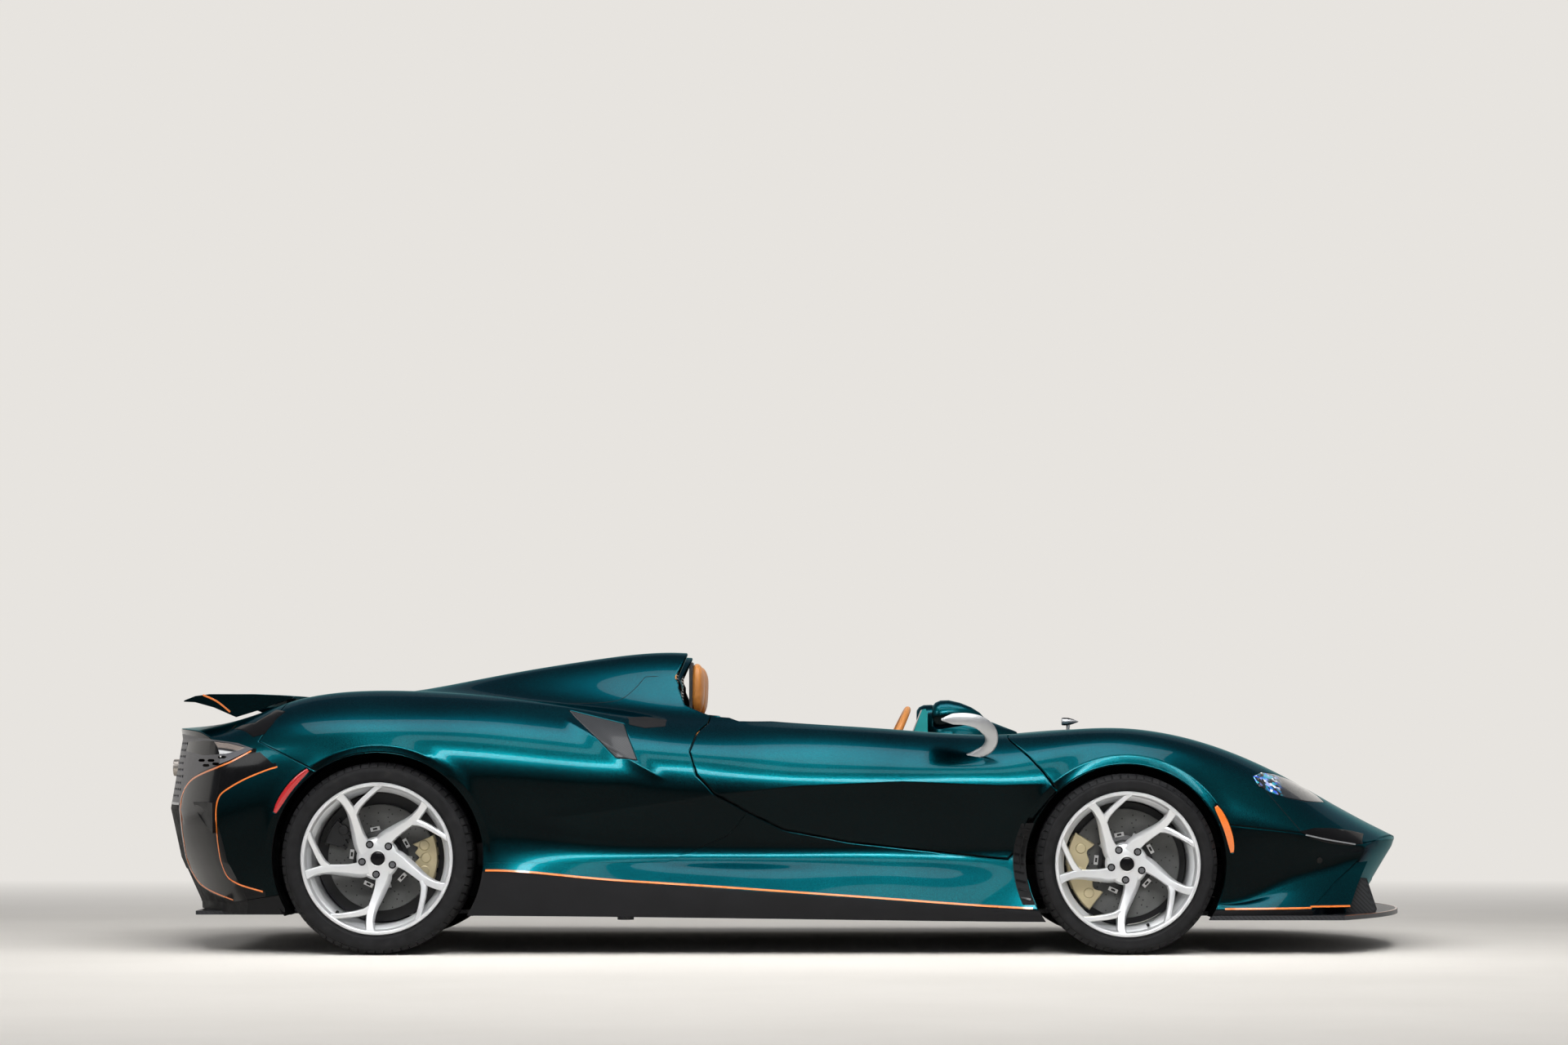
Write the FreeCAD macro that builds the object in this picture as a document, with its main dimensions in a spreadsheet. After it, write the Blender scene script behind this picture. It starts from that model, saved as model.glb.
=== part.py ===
import FreeCAD
import Part
import os
from math import atan2, cos, degrees, pi, radians, sin, sqrt
from FreeCAD import Placement, Rotation, Vector

# Driving dimensions of an open two-seat mid-engined sports car, in millimetres and degrees
SIZES = {
    "body_thickness": 8.0,
    "door_gap": 5.0,
    "door_inner_width": 680.0,
    "seam_gap": 0.6,
    "front_axle_place": 1222.5,
    "wheelbase": 2670.0,
    "front_tyre_radius": 322.0,
    "rear_tyre_radius": 342.0,
    "front_tyre_width": 245.0,
    "rear_tyre_width": 305.0,
    "front_rim_radius": 259.0,
    "rear_rim_radius": 271.0,
    "front_wheel_offset": 836.5,
    "rear_wheel_offset": 813.5,
    "front_arch_radius": 355.0,
    "rear_arch_radius": 378.0,
    "front_well_radius": 380.0,
    "rear_well_radius": 395.0,
    "rim_wall": 7.0,
    "hub_radius": 78.0,
    "axle_radius": 30.0,
    "axle_clearance": 0.05,
    "front_disc_radius": 195.0,
    "rear_disc_radius": 190.0,
    "disc_thickness": 34.0,
    "kingpin_offset": 75.0,
    "ball_height": 140.0,
    "nose_radius": 1497.0,
    "nose_tip": 2295.0,
    "tail_radius": 1586.0,
    "tail_tip": 2305.5,
    "body_half_width": 973.6,
    "splitter_reach": 2305.5,
    "splitter_thickness": 16.0,
    "splitter_height": 122.0,
    "floor_thickness": 14.0,
    "tub_length_front": 790.0,
    "tub_length_rear": 470.0,
    "tub_half_width": 672.0,
    "sill_width": 110.0,
    "sill_height": 400.0,
    "bulkhead_thickness": 40.0,
    "rear_bulkhead_height": 880.0,
    "front_bulkhead_height": 690.0,
    "wheel_rim_radius": 175.0,
    "wheel_rim_grip": 15.0,
    "engine_length": 720.0,
    "engine_width": 520.0,
    "engine_height": 520.0,
    "gearbox_length": 330.0,
    "gearbox_width": 480.0,
    "gearbox_height": 240.0,
    "hinge_pin_radius": 8.0,
    "spoiler_pin_radius": 6.0,
    "hump_half_width": 108.0,
    "hump_top": 874.0,
    "grille_slot_length": 34.0,
    "grille_slot_height": 10.0,
    "grille_pitch": 46.0,
    "grille_row_pitch": 24.0,
    "exhaust_radius": 32.0,
    "exhaust_wall": 3.0,
    "spoiler_half_width": 600.0,
    "jack_pad_radius": 30.0,
    "jack_pad_height": 20.0,
    "front_jack_place": 700.0,
    "rear_jack_place": 575.0,
    "liner_thickness": 4.0,
}

DOCUMENT = FreeCAD.newDocument("sports_car")
SHEET = DOCUMENT.addObject("Spreadsheet::Sheet", "Sizes")
for line, (alias, value) in enumerate(SIZES.items(), start=1):
    SHEET.set("A%d" % line, alias)
    SHEET.set("B%d" % line, str(value))
    SHEET.setAlias("B%d" % line, alias)
DOCUMENT.recompute()

SUBPARTS = []


def size(alias):
    """Value of one driving dimension, read from the sheet."""
    return float(SHEET.get(alias))


def primitive(kind, name, placement=None, **sizes):
    """Parametric solid whose sizes are bound to expressions on the sheet."""
    item = DOCUMENT.addObject(kind, name)
    for key, expression in sizes.items():
        item.setExpression(key, expression)
    if placement is not None:
        item.Placement = placement
    return item


def joined(kind, name, items):
    """Boolean of several document objects."""
    item = DOCUMENT.addObject(kind, name)
    item.Shapes = items
    return item


def cut(name, base, tool):
    """Base less tool, as a document object."""
    item = DOCUMENT.addObject("Part::Cut", name)
    item.Base = base
    item.Tool = tool
    return item


def formed(name, shape, placement=None):
    """Free-form solid that has no parametric primitive."""
    item = DOCUMENT.addObject("Part::Feature", name)
    item.Shape = shape
    if placement is not None:
        item.Placement = placement
    return item


def keep(item, label):
    """Name a finished sub-part after its node."""
    item.Label = label
    SUBPARTS.append(item)
    return item


def place(x, y, z, axis=None, angle=0.0):
    turn = Rotation(axis, angle) if axis is not None else Rotation()
    return Placement(Vector(x, y, z), turn)


def across(x, y, z):
    """Placement that lays a solid's own Z axis along +Y."""
    return Placement(Vector(x, y, z), Rotation(Vector(1, 0, 0), -90))


def along(x, y, z):
    """Placement that lays a solid's own Z axis along +X."""
    return Placement(Vector(x, y, z), Rotation(Vector(0, 1, 0), 90))


def block(x0, x1, y0, y1, z0, z1):
    return Part.makeBox(x1 - x0, y1 - y0, z1 - z0, Vector(x0, y0, z0))


def both_sides(shape):
    """The shape and its mirror image across the centre plane."""
    return shape.fuse(shape.mirror(Vector(0, 0, 0), Vector(0, 1, 0)))


def prism(points, y0, y1):
    """Side-view outline (x, z) carried across from y0 to y1."""
    wire = Part.makePolygon([Vector(x, y0, z) for x, z in points + points[:1]])
    return Part.Face(wire).extrude(Vector(0, y1 - y0, 0))


def slab(points, z0, z1):
    """Plan outline (x, y) raised from z0 to z1."""
    wire = Part.makePolygon([Vector(x, y, z0) for x, y in points + points[:1]])
    return Part.Face(wire).extrude(Vector(0, 0, z1 - z0))


def turned(points, centre, direction=Vector(0, 0, 1)):
    """Outline (radius, height) revolved about an axis through centre."""
    wire = Part.makePolygon([Vector(r, 0, z) for r, z in points + points[:1]])
    solid = Part.Face(wire).revolve(Vector(0, 0, 0), Vector(0, 0, 1), 360)
    solid.Placement = Placement(centre, Rotation(Vector(0, 0, 1), direction))
    return solid


# Body form: half sections from the sill edge over the shoulder and crest to the centre line
ROW_STEPS = (75, 85, 95, 130, 130, 170, 100, 130, 130, 200, 220)
SECTIONS = {
    -2600: ((735, 178), (760, 246), (775, 334), (785, 430), (785, 536), (762, 642),
            (700, 722), (630, 752), (530, 766), (410, 772), (200, 776), (0, 777)),
    -2340: ((790, 170), (812, 240), (828, 330), (838, 430), (838, 540), (815, 650),
            (745, 740), (670, 775), (560, 792), (430, 798), (210, 802), (0, 803)),
    -2100: ((840, 172), (862, 245), (878, 335), (888, 435), (890, 560), (865, 680),
            (775, 775), (690, 805), (570, 818), (430, 822), (210, 822), (0, 822)),
    -1790: ((900, 200), (915, 270), (925, 355), (935, 460), (940, 600), (900, 760),
            (730, 895), (650, 900), (550, 896), (430, 888), (220, 866), (0, 860)),
    -1447: ((935, 250), (948, 320), (958, 400), (968, 500), (972, 640), (928, 795),
            (722, 937), (640, 938), (540, 932), (430, 930), (225, 882), (0, 872)),
    -1070: ((948, 297), (942, 350), (940, 425), (952, 525), (966, 655), (915, 795),
            (722, 922), (640, 918), (540, 952), (430, 998), (230, 925), (0, 898)),
    -700: ((944, 271), (916, 318), (896, 375), (908, 470), (936, 610), (892, 750),
           (722, 873), (645, 888), (535, 985), (425, 1059), (230, 985), (0, 935)),
    -350: ((940, 246), (900, 302), (862, 356), (874, 455), (914, 595), (882, 715),
           (744, 822), (660, 872), (545, 1005), (425, 1083), (230, 1010), (0, 960)),
    0: ((938, 221), (888, 290), (842, 352), (854, 445), (902, 587), (872, 693),
        (742, 806), (655, 840), (545, 930), (430, 1000), (225, 960), (0, 930)),
    400: ((935, 192), (885, 272), (832, 350), (846, 435), (900, 587), (866, 692),
          (735, 792), (640, 806), (535, 830), (430, 855), (220, 845), (0, 835)),
    800: ((925, 163), (880, 255), (835, 345), (850, 430), (906, 590), (860, 702),
          (722, 782), (630, 778), (525, 772), (420, 768), (220, 765), (0, 765)),
    1222: ((915, 152), (918, 240), (926, 340), (938, 445), (942, 565), (882, 722),
           (722, 806), (620, 796), (515, 765), (420, 748), (220, 735), (0, 732)),
    1560: ((915, 160), (903, 178), (897, 200), (912, 355), (917, 510), (850, 655),
           (690, 742), (590, 736), (500, 715), (410, 700), (215, 688), (0, 685)),
    1850: ((895, 160), (860, 205), (835, 262), (868, 370), (880, 470), (800, 575),
           (640, 632), (545, 632), (470, 622), (400, 611), (210, 600), (0, 596)),
    2100: ((855, 162), (805, 225), (765, 305), (800, 365), (820, 420), (740, 480),
           (590, 512), (500, 512), (440, 508), (380, 503), (200, 497), (0, 494)),
    2295: ((800, 165), (730, 245), (685, 330), (705, 362), (715, 385), (640, 408),
           (520, 418), (440, 418), (380, 415), (320, 411), (170, 404), (0, 400)),
    2350: ((785, 165), (705, 248), (655, 322), (670, 350), (675, 368), (600, 385),
           (490, 392), (410, 391), (350, 388), (290, 384), (160, 377), (0, 373)),
}
BOTTOM_LINE = {-2600: 160, -2340: 150, -1447: 141, -1070: 139, 0: 127, 900: 116, 1560: 117, 2000: 128, 2350: 142}
BOW_HALF_WIDTH = 950
NOSE_BOW_START, NOSE_BOW_LENGTH, NOSE_BOW_DEPTH = 1400, 895, 340
TAIL_BOW_START, TAIL_BOW_LENGTH, TAIL_BOW_DEPTH = -1700, 600, 260


def spline(xs, ys):
    """Natural cubic spline through the given points, as a function of x."""
    count = len(xs)
    step = [xs[i + 1] - xs[i] for i in range(count - 1)]
    lower = [0.0] * count
    middle = [1.0] * count
    upper = [0.0] * count
    right = [0.0] * count
    for i in range(1, count - 1):
        lower[i] = step[i - 1]
        middle[i] = 2 * (step[i - 1] + step[i])
        upper[i] = step[i]
        right[i] = 6 * ((ys[i + 1] - ys[i]) / step[i] - (ys[i] - ys[i - 1]) / step[i - 1])
    for i in range(1, count):
        factor = lower[i] / middle[i - 1]
        middle[i] -= factor * upper[i - 1]
        right[i] -= factor * right[i - 1]
    bend = [0.0] * count
    for i in range(count - 2, -1, -1):
        bend[i] = (right[i] - upper[i] * bend[i + 1]) / middle[i]

    def at(x):
        i = 0
        while i < count - 2 and x > xs[i + 1]:
            i += 1
        back = x - xs[i]
        ahead = xs[i + 1] - x
        cubic = (bend[i] * ahead ** 3 + bend[i + 1] * back ** 3) / (6 * step[i])
        start = ys[i] / step[i] - bend[i] * step[i] / 6
        end = ys[i + 1] / step[i] - bend[i + 1] * step[i] / 6
        return cubic + start * ahead + end * back

    return at


STATIONS = sorted(SECTIONS)
ROW_WIDTH = [spline(STATIONS, [SECTIONS[u][k][0] for u in STATIONS]) for k in range(12)]
ROW_HEIGHT = [spline(STATIONS, [SECTIONS[u][k][1] for u in STATIONS]) for k in range(12)]
HALF_ROWS = [-sum(ROW_STEPS[k:]) for k in range(12)]
ROWS = HALF_ROWS + [-t for t in HALF_ROWS[-2::-1]]
bottom_height = spline(sorted(BOTTOM_LINE), [BOTTOM_LINE[u] for u in sorted(BOTTOM_LINE)])


def bow(u):
    """Backward sweep of the nose, and forward sweep of the tail, at the reference half width."""
    if u > NOSE_BOW_START:
        return -NOSE_BOW_DEPTH * ((u - NOSE_BOW_START) / NOSE_BOW_LENGTH) ** 2
    if u < TAIL_BOW_START:
        return TAIL_BOW_DEPTH * ((TAIL_BOW_START - u) / TAIL_BOW_LENGTH) ** 2
    return 0.0


SECTION_CACHE = {}


def section(u):
    if u not in SECTION_CACHE:
        widths = [row(u) for row in ROW_WIDTH]
        heights = [row(u) for row in ROW_HEIGHT]
        across_y = spline(ROWS, [-y for y in widths] + widths[-2::-1])
        across_z = spline(ROWS, heights + heights[-2::-1])
        SECTION_CACHE[u] = (across_y, across_z)
    return SECTION_CACHE[u]


def skin(u, t):
    """Point of the outer skin: u along the car, t across it from the right sill to the left."""
    across_y, across_z = section(u)
    y = across_y(t)
    return Vector(u + bow(u) * (y / BOW_HALF_WIDTH) ** 2, y, across_z(t))


def skin_normal(u, t, step=2.0):
    along = skin(u + step, t) - skin(u - step, t)
    over = skin(u, t + step) - skin(u, t - step)
    return along.cross(over).normalize()


def halved(values):
    """The values with a midpoint between each pair."""
    out = []
    for a, b in zip(values, values[1:]):
        out += [a, (a + b) / 2]
    return out + [values[-1]]


def body_solid(depth):
    """Closed body form, its skin moved inwards by depth."""
    grid = []
    edge = 3
    for u in halved(STATIONS):
        row = []
        for t in halved(ROWS):
            point = skin(u, t)
            if depth:
                inner_u = min(max(u, STATIONS[0] + edge), STATIONS[-1] - edge)
                inner_t = min(max(t, ROWS[0] + edge), ROWS[-1] - edge)
                point = point - skin_normal(inner_u, inner_t) * depth
            row.append(point)
        grid.append(row)
    surface = Part.BSplineSurface()
    surface.interpolate(grid)
    u0, u1, v0, v1 = surface.bounds()

    def bottom_edge(column, outward):
        curve = Part.BSplineCurve()
        tuck = 12 * outward
        curve.interpolate([Vector(row[column].x, row[column].y - tuck,
                                  bottom_height(row[column].x) + depth) for row in grid])
        return curve.toShape()

    right = bottom_edge(0, -1)
    left = bottom_edge(-1, 1)
    ends = [Part.makeLine(right.valueAt(k(right)), left.valueAt(k(left)))
            for k in (lambda e: e.FirstParameter, lambda e: e.LastParameter)]
    faces = [surface.toShape(),
             Part.makeRuledSurface(surface.vIso(v0).toShape(), right),
             Part.makeRuledSurface(surface.vIso(v1).toShape(), left),
             Part.makeRuledSurface(right, left),
             Part.makeRuledSurface(surface.uIso(u0).toShape(), ends[0]),
             Part.makeRuledSurface(surface.uIso(u1).toShape(), ends[1])]
    shell = Part.makeShell(faces)
    shell.sewShape(0.05)
    solid = Part.makeSolid(Part.Shell(shell.Faces))
    if solid.Volume < 0:
        solid.reverse()
    return solid


def ends_form(depth):
    """Space between the bowed nose face and the bowed tail face."""
    nose = size("nose_radius") - depth
    nose_line = [(0, 50), (nose - 105, 50), (nose - 105, 165), (nose - 82, 251), (nose - 10, 370),
                 (nose, 399), (nose, 1300), (0, 1300)]
    tail = size("tail_radius") - depth
    tail_line = [(0, 50), (tail - 116, 50), (tail - 109, 176), (tail - 40, 330), (tail, 510),
                 (tail - 42, 768), (tail - 36, 812), (tail - 36, 1300), (0, 1300)]
    nose_form = turned(nose_line, Vector(size("nose_tip") - size("nose_radius"), 0, 0))
    tail_form = turned(tail_line, Vector(size("tail_radius") - size("tail_tip"), 0, 0))
    return nose_form, tail_form


WALL = size("body_thickness")
FRONT_X = size("front_axle_place")
REAR_X = FRONT_X - size("wheelbase")
GAP = size("seam_gap") / 2
WIDE = size("body_half_width") + 126


MIDDLE = 1130


def clipped(form, depth):
    nose_form, tail_form = ends_form(depth)
    nose_part = form.common(block(MIDDLE, 2600, -WIDE, WIDE, 0, 1300)).common(nose_form)
    middle_part = form.common(block(-MIDDLE, MIDDLE, -WIDE, WIDE, 0, 1300))
    tail_part = form.common(block(-2700, -MIDDLE, -WIDE, WIDE, 0, 1300)).common(tail_form)
    return middle_part.fuse([nose_part, tail_part])


OUTER = clipped(body_solid(0.0), 0.0)
INNER = clipped(body_solid(WALL), WALL)


def hinge_frame():
    """Tilted hinge line of the right door: a point on it and its direction."""
    return Vector(1000, -808, 716), Vector(-1.0, 0.45, 0.9).normalize()


def skin_point(x, z, t=-900.0):
    """Point of the right flank seen at (x, z) from the side."""
    u = x
    for _ in range(30):
        p = skin(u, t)
        du = skin(u + 1, t) - p
        dt = skin(u, t + 1) - p
        det = du.x * dt.z - dt.x * du.z
        dx = x - p.x
        dz = z - p.z
        u += max(-100.0, min(100.0, (dx * dt.z - dt.x * dz) / det))
        t += max(-60.0, min(60.0, (du.x * dz - dx * du.z) / det))
        t = max(ROWS[0] + 3.0, min(-760.0, t))
    return skin(u, t)


DOOR_OUTLINE = ((-272, 856), (-310, 790), (-335, 723), (-310, 640), (-249, 577), (-130, 510), (0, 446),
                (234, 401), (530, 369), (800, 340), (842, 385), (895, 490), (968, 580), (900, 672),
                (810, 762))




def door_sector(gap):
    """Wedge swept by the right door's outline about its hinge line, widened by gap."""
    foot, line = hinge_frame()
    flank = [skin_point(x, z) for x, z in DOOR_OUTLINE]
    rim = [flank[-1] + Vector(-20, 30, 60), flank[-1] + Vector(-60, 60, 260),
           flank[0] + Vector(40, 60, 260), flank[0] + Vector(10, 30, 60)]
    out = (flank[4] - foot)
    out = (out - line * out.dot(line)).normalize()
    profile = []
    for p in flank + rim:
        arm = p - foot
        height = arm.dot(line)
        radius = (arm - line * height).Length
        profile.append(foot + out * radius + line * height)
    face = Part.Face(Part.makePolygon(profile + profile[:1]))
    if gap:
        face = face.makeOffset2D(gap)
    face.rotate(foot, line, -30)
    wedge = face.revolve(foot, line, 100)
    if wedge.Volume < 0:
        wedge.reverse()
    return wedge


DOOR_SWEEP = door_sector(0.0)
DOOR_CLEAR = door_sector(size("door_gap"))
DOOR_INNER = size("door_inner_width")
OUTSIDE_RIGHT = block(-700, 1300, -WIDE, -DOOR_INNER, 0, 1300)
DOOR_SPACE = DOOR_CLEAR.common(block(-700, 1300, -WIDE - 300, -DOOR_INNER + size("door_gap"), 0, 1500))
DOOR_SPACES = [DOOR_SPACE, DOOR_SPACE.mirror(Vector(0, 0, 0), Vector(0, 1, 0))]

COCKPIT_PLAN = ((-400, -560), (-360, -640), (-280, -672), (-150, -DOOR_INNER), (640, -DOOR_INNER),
                (668, -560), (690, -380), (700, 0))
COCKPIT_SIDE = ((-356, 1250), (-356, 1081), (-398, 995), (-386, 970), (-386, 300), (720, 300),
                (720, 1250))


def cockpit_form():
    """Open space of the cockpit, cut from the skin."""
    half = list(COCKPIT_PLAN)
    plan = half + [(x, -y) for x, y in reversed(half[:-1])]
    hole = slab(plan, 200, 1300).common(prism(list(COCKPIT_SIDE), -WIDE, WIDE))
    above = prism([(-356, 1300), (-356, 1081), (-398, 995), (-386, 970), (-360, 945), (-284, 878),
                   (-163, 832), (620, 832), (620, 1300)], -WIDE, WIDE)
    return hole.fuse(above)


COCKPIT = cockpit_form()


def wheel_space(x, z, radius, inner, outer):
    return both_sides(Part.makeCylinder(radius, outer - inner, Vector(x, inner, z), Vector(0, 1, 0)))


FRONT_Z = size("front_tyre_radius")
REAR_Z = size("rear_tyre_radius")
ARCHES = wheel_space(FRONT_X, FRONT_Z, size("front_arch_radius"), 560, WIDE).fuse(
    wheel_space(REAR_X, REAR_Z, size("rear_arch_radius"), 600, WIDE))
WELLS = wheel_space(FRONT_X, FRONT_Z, size("front_well_radius"), 520, 880).fuse(
    wheel_space(REAR_X, REAR_Z, size("rear_well_radius"), 560, 890))

SHELL = OUTER.cut(INNER).cut(ARCHES).cut(COCKPIT)
for space in DOOR_SPACES:
    SHELL = SHELL.cut(space)

# Side-view seams between the panels
SPLITTER_TOP = size("splitter_height") + size("splitter_thickness") + 0.3
NOSE_SEAM = [(1500, 470), (1846, 431), (2050, 387), (2148, 400), (2500, 385)]
SKIRT_SEAM = [(-420, 326), (-200, 420), (-100, 540), (640, 540), (900, 326)]
CLAM_REAR = [(-1660, 650), (-1880, 759), (-1780, 925), (-1780, 1300)]


def shifted(points, dx, dz):
    return [(x + dx, z + dz) for x, z in points]


front_upper = prism([(600, 1300), (600, 600), (1000, 331)] + shifted(NOSE_SEAM, 0, GAP) + [(2500, 1300)], -WIDE, WIDE)
nose_lower = prism([(1300, SPLITTER_TOP), (1300, 468)] + shifted(NOSE_SEAM, 0, -GAP)
                   + [(2500, SPLITTER_TOP)], -WIDE, WIDE)
tail_zone = prism([(-2600, 1300), (-2600, 184), (-1977, 182), (-1780, 214), (REAR_X, 214), (REAR_X, 640)]
                  + shifted(CLAM_REAR, -GAP, 0), -WIDE, WIDE)
clam_zone = prism([(0, 1300), (0, 600), (-100, 542), (-202, 421), (-421, 327), (REAR_X + 1, 327), (REAR_X + 1, 640)]
                  + shifted(CLAM_REAR, GAP, 0), -WIDE, WIDE)


def prisms(outlines, inner):
    """Side-view outlines carried from the inner width outwards, on both sides."""
    solids = [prism(list(points), -WIDE, -inner) for points in outlines]
    return both_sides(solids[0].fuse(solids[1:]) if len(solids) > 1 else solids[0])


def arch_band(x, z, inner, outer, start, end, steps=8):
    """Curved strip along a wheel arch, narrowing towards both ends."""
    near, far = [], []
    for k in range(steps + 1):
        angle = radians(start + (end - start) * k / steps)
        taper = 0.5 * abs(2.0 * k / steps - 1) ** 3
        middle = (inner + outer) / 2
        half = (outer - inner) / 2 * (1 - taper)
        near.append((x + (middle - half) * cos(angle), z + (middle - half) * sin(angle)))
        far.append((x + (middle + half) * cos(angle), z + (middle + half) * sin(angle)))
    return near + far[::-1]


HEADLAMP = ((1686, 634), (1700, 602), (1745, 577), (1810, 556), (1880, 543), (1962, 538), (1944, 560),
            (1895, 594), (1835, 621), (1775, 640), (1720, 648))
FRONT_MARKER = arch_band(FRONT_X, FRONT_Z, 365, 391, 6, 33)
TAIL_LAMP = ((-1925, 737), (-1990, 752), (-2090, 762), (-2180, 758), (-2216, 742), (-2190, 722),
             (-2100, 708), (-2000, 714), (-1950, 726))
REAR_MARKER = arch_band(REAR_X, REAR_Z, 387, 413, 128, 156)
INTAKE = ((-775, 868), (-577, 822), (-524, 690), (-600, 700))
FRONT_LAMPS = prisms((HEADLAMP, FRONT_MARKER), 560)
REAR_LAMPS = prisms((TAIL_LAMP,), 480).fuse(prisms((REAR_MARKER,), 660))
INTAKES = prisms((INTAKE,), 700)

# Rear edge of the painted quarters, seen from the side; behind it sit the mesh and the bumper
QUARTER_EDGE = [(-1977, 182), (-2084, 209), (-2147, 235), (-2189, 285), (-2205, 344), (-2213, 415),
                (-2214, 497), (-2214, 550), (-2193, 594), (-2159, 626), (-2104, 650), (-1992, 688),
                (-1898, 732), (-1960, 753), (-2090, 769), (-2225, 786)]
MESH_FOOT = 530
tail_face = prism(QUARTER_EDGE + [(-2600, 790), (-2600, 182)], -WIDE, WIDE)
mesh_zone = prism(shifted(QUARTER_EDGE, -GAP, 0) + [(-2600, 790), (-2600, 182)], -WIDE, WIDE).common(
    block(-2600, -1800, -WIDE, WIDE, MESH_FOOT, 1300))
bumper_zone = prism([(-1780, 213), (-1977, 181)] + shifted(QUARTER_EDGE[:8], -GAP, 0)
                    + [(-2600, 550), (-2600, 120), (-1780, 120)], -WIDE, WIDE).common(
    block(-2600, -1700, -WIDE, WIDE, 100, MESH_FOOT - 2 * GAP))
pin_x, pin_z = -1830, 890
spoiler_end = size("spoiler_half_width")
pin_radius = size("spoiler_pin_radius")
cheeks = block(pin_x - 14, pin_x + 14, 280, 289.5, 850, 902).fuse(
    [block(pin_x - 14, pin_x + 14, 310.5, 320, 850, 902),
     Part.makeCylinder(pin_radius, 40, Vector(pin_x, 280, pin_z), Vector(0, 1, 0))])
lug = block(pin_x - 12, pin_x + 12, 290, 310, 880, 912).cut(
    Part.makeCylinder(pin_radius + size("axle_clearance"), 40, Vector(pin_x, 280, pin_z), Vector(0, 1, 0)))

# Cowl hump ahead of the driver's dials, and a small pod on a stalk in the middle of the bonnet
HUMP_Y = 370
HUMP_FOOT = 748
hump_scale = size("hump_half_width") / 108
HUMP_SPINE = ((560, -6, 30), (590, 0, 84), (680, -4, 108), (740, -19, 100), (800, -39, 80), (860, -62, 50),
              (900, -79, 14))


def hump_section(x, drop, half):
    """Closed arch across the car, standing on the hump's foot."""
    top = size("hump_top") + drop
    wide = half * hump_scale
    points = []
    for k in range(13):
        angle = pi * k / 12
        points.append(Vector(x, HUMP_Y + wide * cos(angle), HUMP_FOOT + (top - HUMP_FOOT) * sin(angle) ** 0.8))
    arch = Part.BSplineCurve()
    arch.interpolate(points)
    return Part.Wire([arch.toShape(), Part.makeLine(points[-1], points[0])])


hump = Part.makeLoft([hump_section(*spot) for spot in HUMP_SPINE], True, False)
hump = hump.cut(block(500, 676, 200, 560, 700, 783))
POD_X, POD_Z = 1074, 834
pod_line = [(0, -21), (14, -20), (15, -12), (14.5, 4), (9, 24), (0, 42)]
pod = turned(pod_line, Vector(POD_X, 0, POD_Z), Vector(1, 0, 0))
stalk = Part.makeCylinder(3.5, POD_Z - 738, Vector(POD_X, 0, 738))
bonnet = SHELL.common(front_upper).cut(FRONT_LAMPS).fuse([hump, stalk, pod])
keep(formed("FrontClamshell", bonnet), "front_clamshell")
keep(formed("FrontBumper", SHELL.common(nose_lower).cut(FRONT_LAMPS)), "front_bumper")
keep(formed("RearClamshell", SHELL.common(clam_zone).cut(INTAKES).cut(REAR_LAMPS)), "rear_clamshell")
quarters = SHELL.common(tail_zone).cut(REAR_LAMPS).cut(tail_face).fuse(both_sides(cheeks.common(tail_zone)))
keep(formed("RearQuarters", quarters), "rear_quarters")
keep(formed("FrontLamps", SHELL.common(FRONT_LAMPS)), "front_lamps")
keep(formed("RearLamps", SHELL.common(REAR_LAMPS)), "rear_lamps")
keep(formed("IntakePanels", SHELL.common(INTAKES)), "intake_panels")

door_well = wheel_space(FRONT_X, FRONT_Z, size("front_well_radius") + size("door_gap"), 520, 885)
door_shape = OUTER.common(DOOR_SWEEP).common(OUTSIDE_RIGHT).cut(COCKPIT).cut(door_well).cut(ARCHES)
foot, line = hinge_frame()
pin_r = size("hinge_pin_radius")
sleeve_half = 12
sleeve_place = foot + line * 25
towards_door = Vector(880, -800, 690) - foot
towards_door = (towards_door - line * towards_door.dot(line)).normalize()


def at_hinge(shape, angle):
    """Shape drawn with Z along the hinge and X towards the door, turned by angle and set on the hinge."""
    shape.rotate(Vector(0, 0, 0), Vector(0, 0, 1), angle)
    frame = Rotation(towards_door, line.cross(towards_door), line, "ZXY")
    shape.Placement = Placement(sleeve_place, frame).multiply(shape.Placement)
    return shape


NECK_ANGLE = 60
NECK_INNER, NECK_OUTER = 146, 162
sleeve = Part.makeCylinder(16, 2 * sleeve_half, Vector(0, 0, -sleeve_half))
radial = Part.makeBox(NECK_OUTER - 6, 16, 2 * sleeve_half, Vector(4, -8, -sleeve_half))
neck_line = [(NECK_INNER, -sleeve_half), (NECK_OUTER, -sleeve_half), (NECK_OUTER, sleeve_half),
             (NECK_INNER, sleeve_half)]
neck_face = Part.Face(Part.makePolygon([Vector(r, 0, h) for r, h in neck_line + neck_line[:1]]))
neck = neck_face.revolve(Vector(0, 0, 0), Vector(0, 0, 1), NECK_ANGLE + 4)
bore = Part.makeCylinder(pin_r + size("axle_clearance"), 4 * sleeve_half, Vector(0, 0, -2 * sleeve_half))
arm = sleeve.fuse([radial, neck]).cut(bore)
door_shape = door_shape.fuse(at_hinge(arm, -NECK_ANGLE))
pin = Part.makeCylinder(pin_r, 2 * sleeve_half + 14, Vector(0, 0, -sleeve_half - 2))
cheek = Part.makeCylinder(16, 12, Vector(0, 0, sleeve_half + 0.3))
hinge_pin = at_hinge(pin.fuse(cheek), 0)
stay_points = [sleeve_place + line * (sleeve_half + 7), Vector(965, -640, 690), Vector(785, -590, 640)]
for a, b in zip(stay_points, stay_points[1:]):
    hinge_pin = hinge_pin.fuse([Part.makeCylinder(6, (b - a).Length, a, b - a), Part.makeSphere(6, b)])
keep(formed("DoorRight", door_shape), "door_right")
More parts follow.
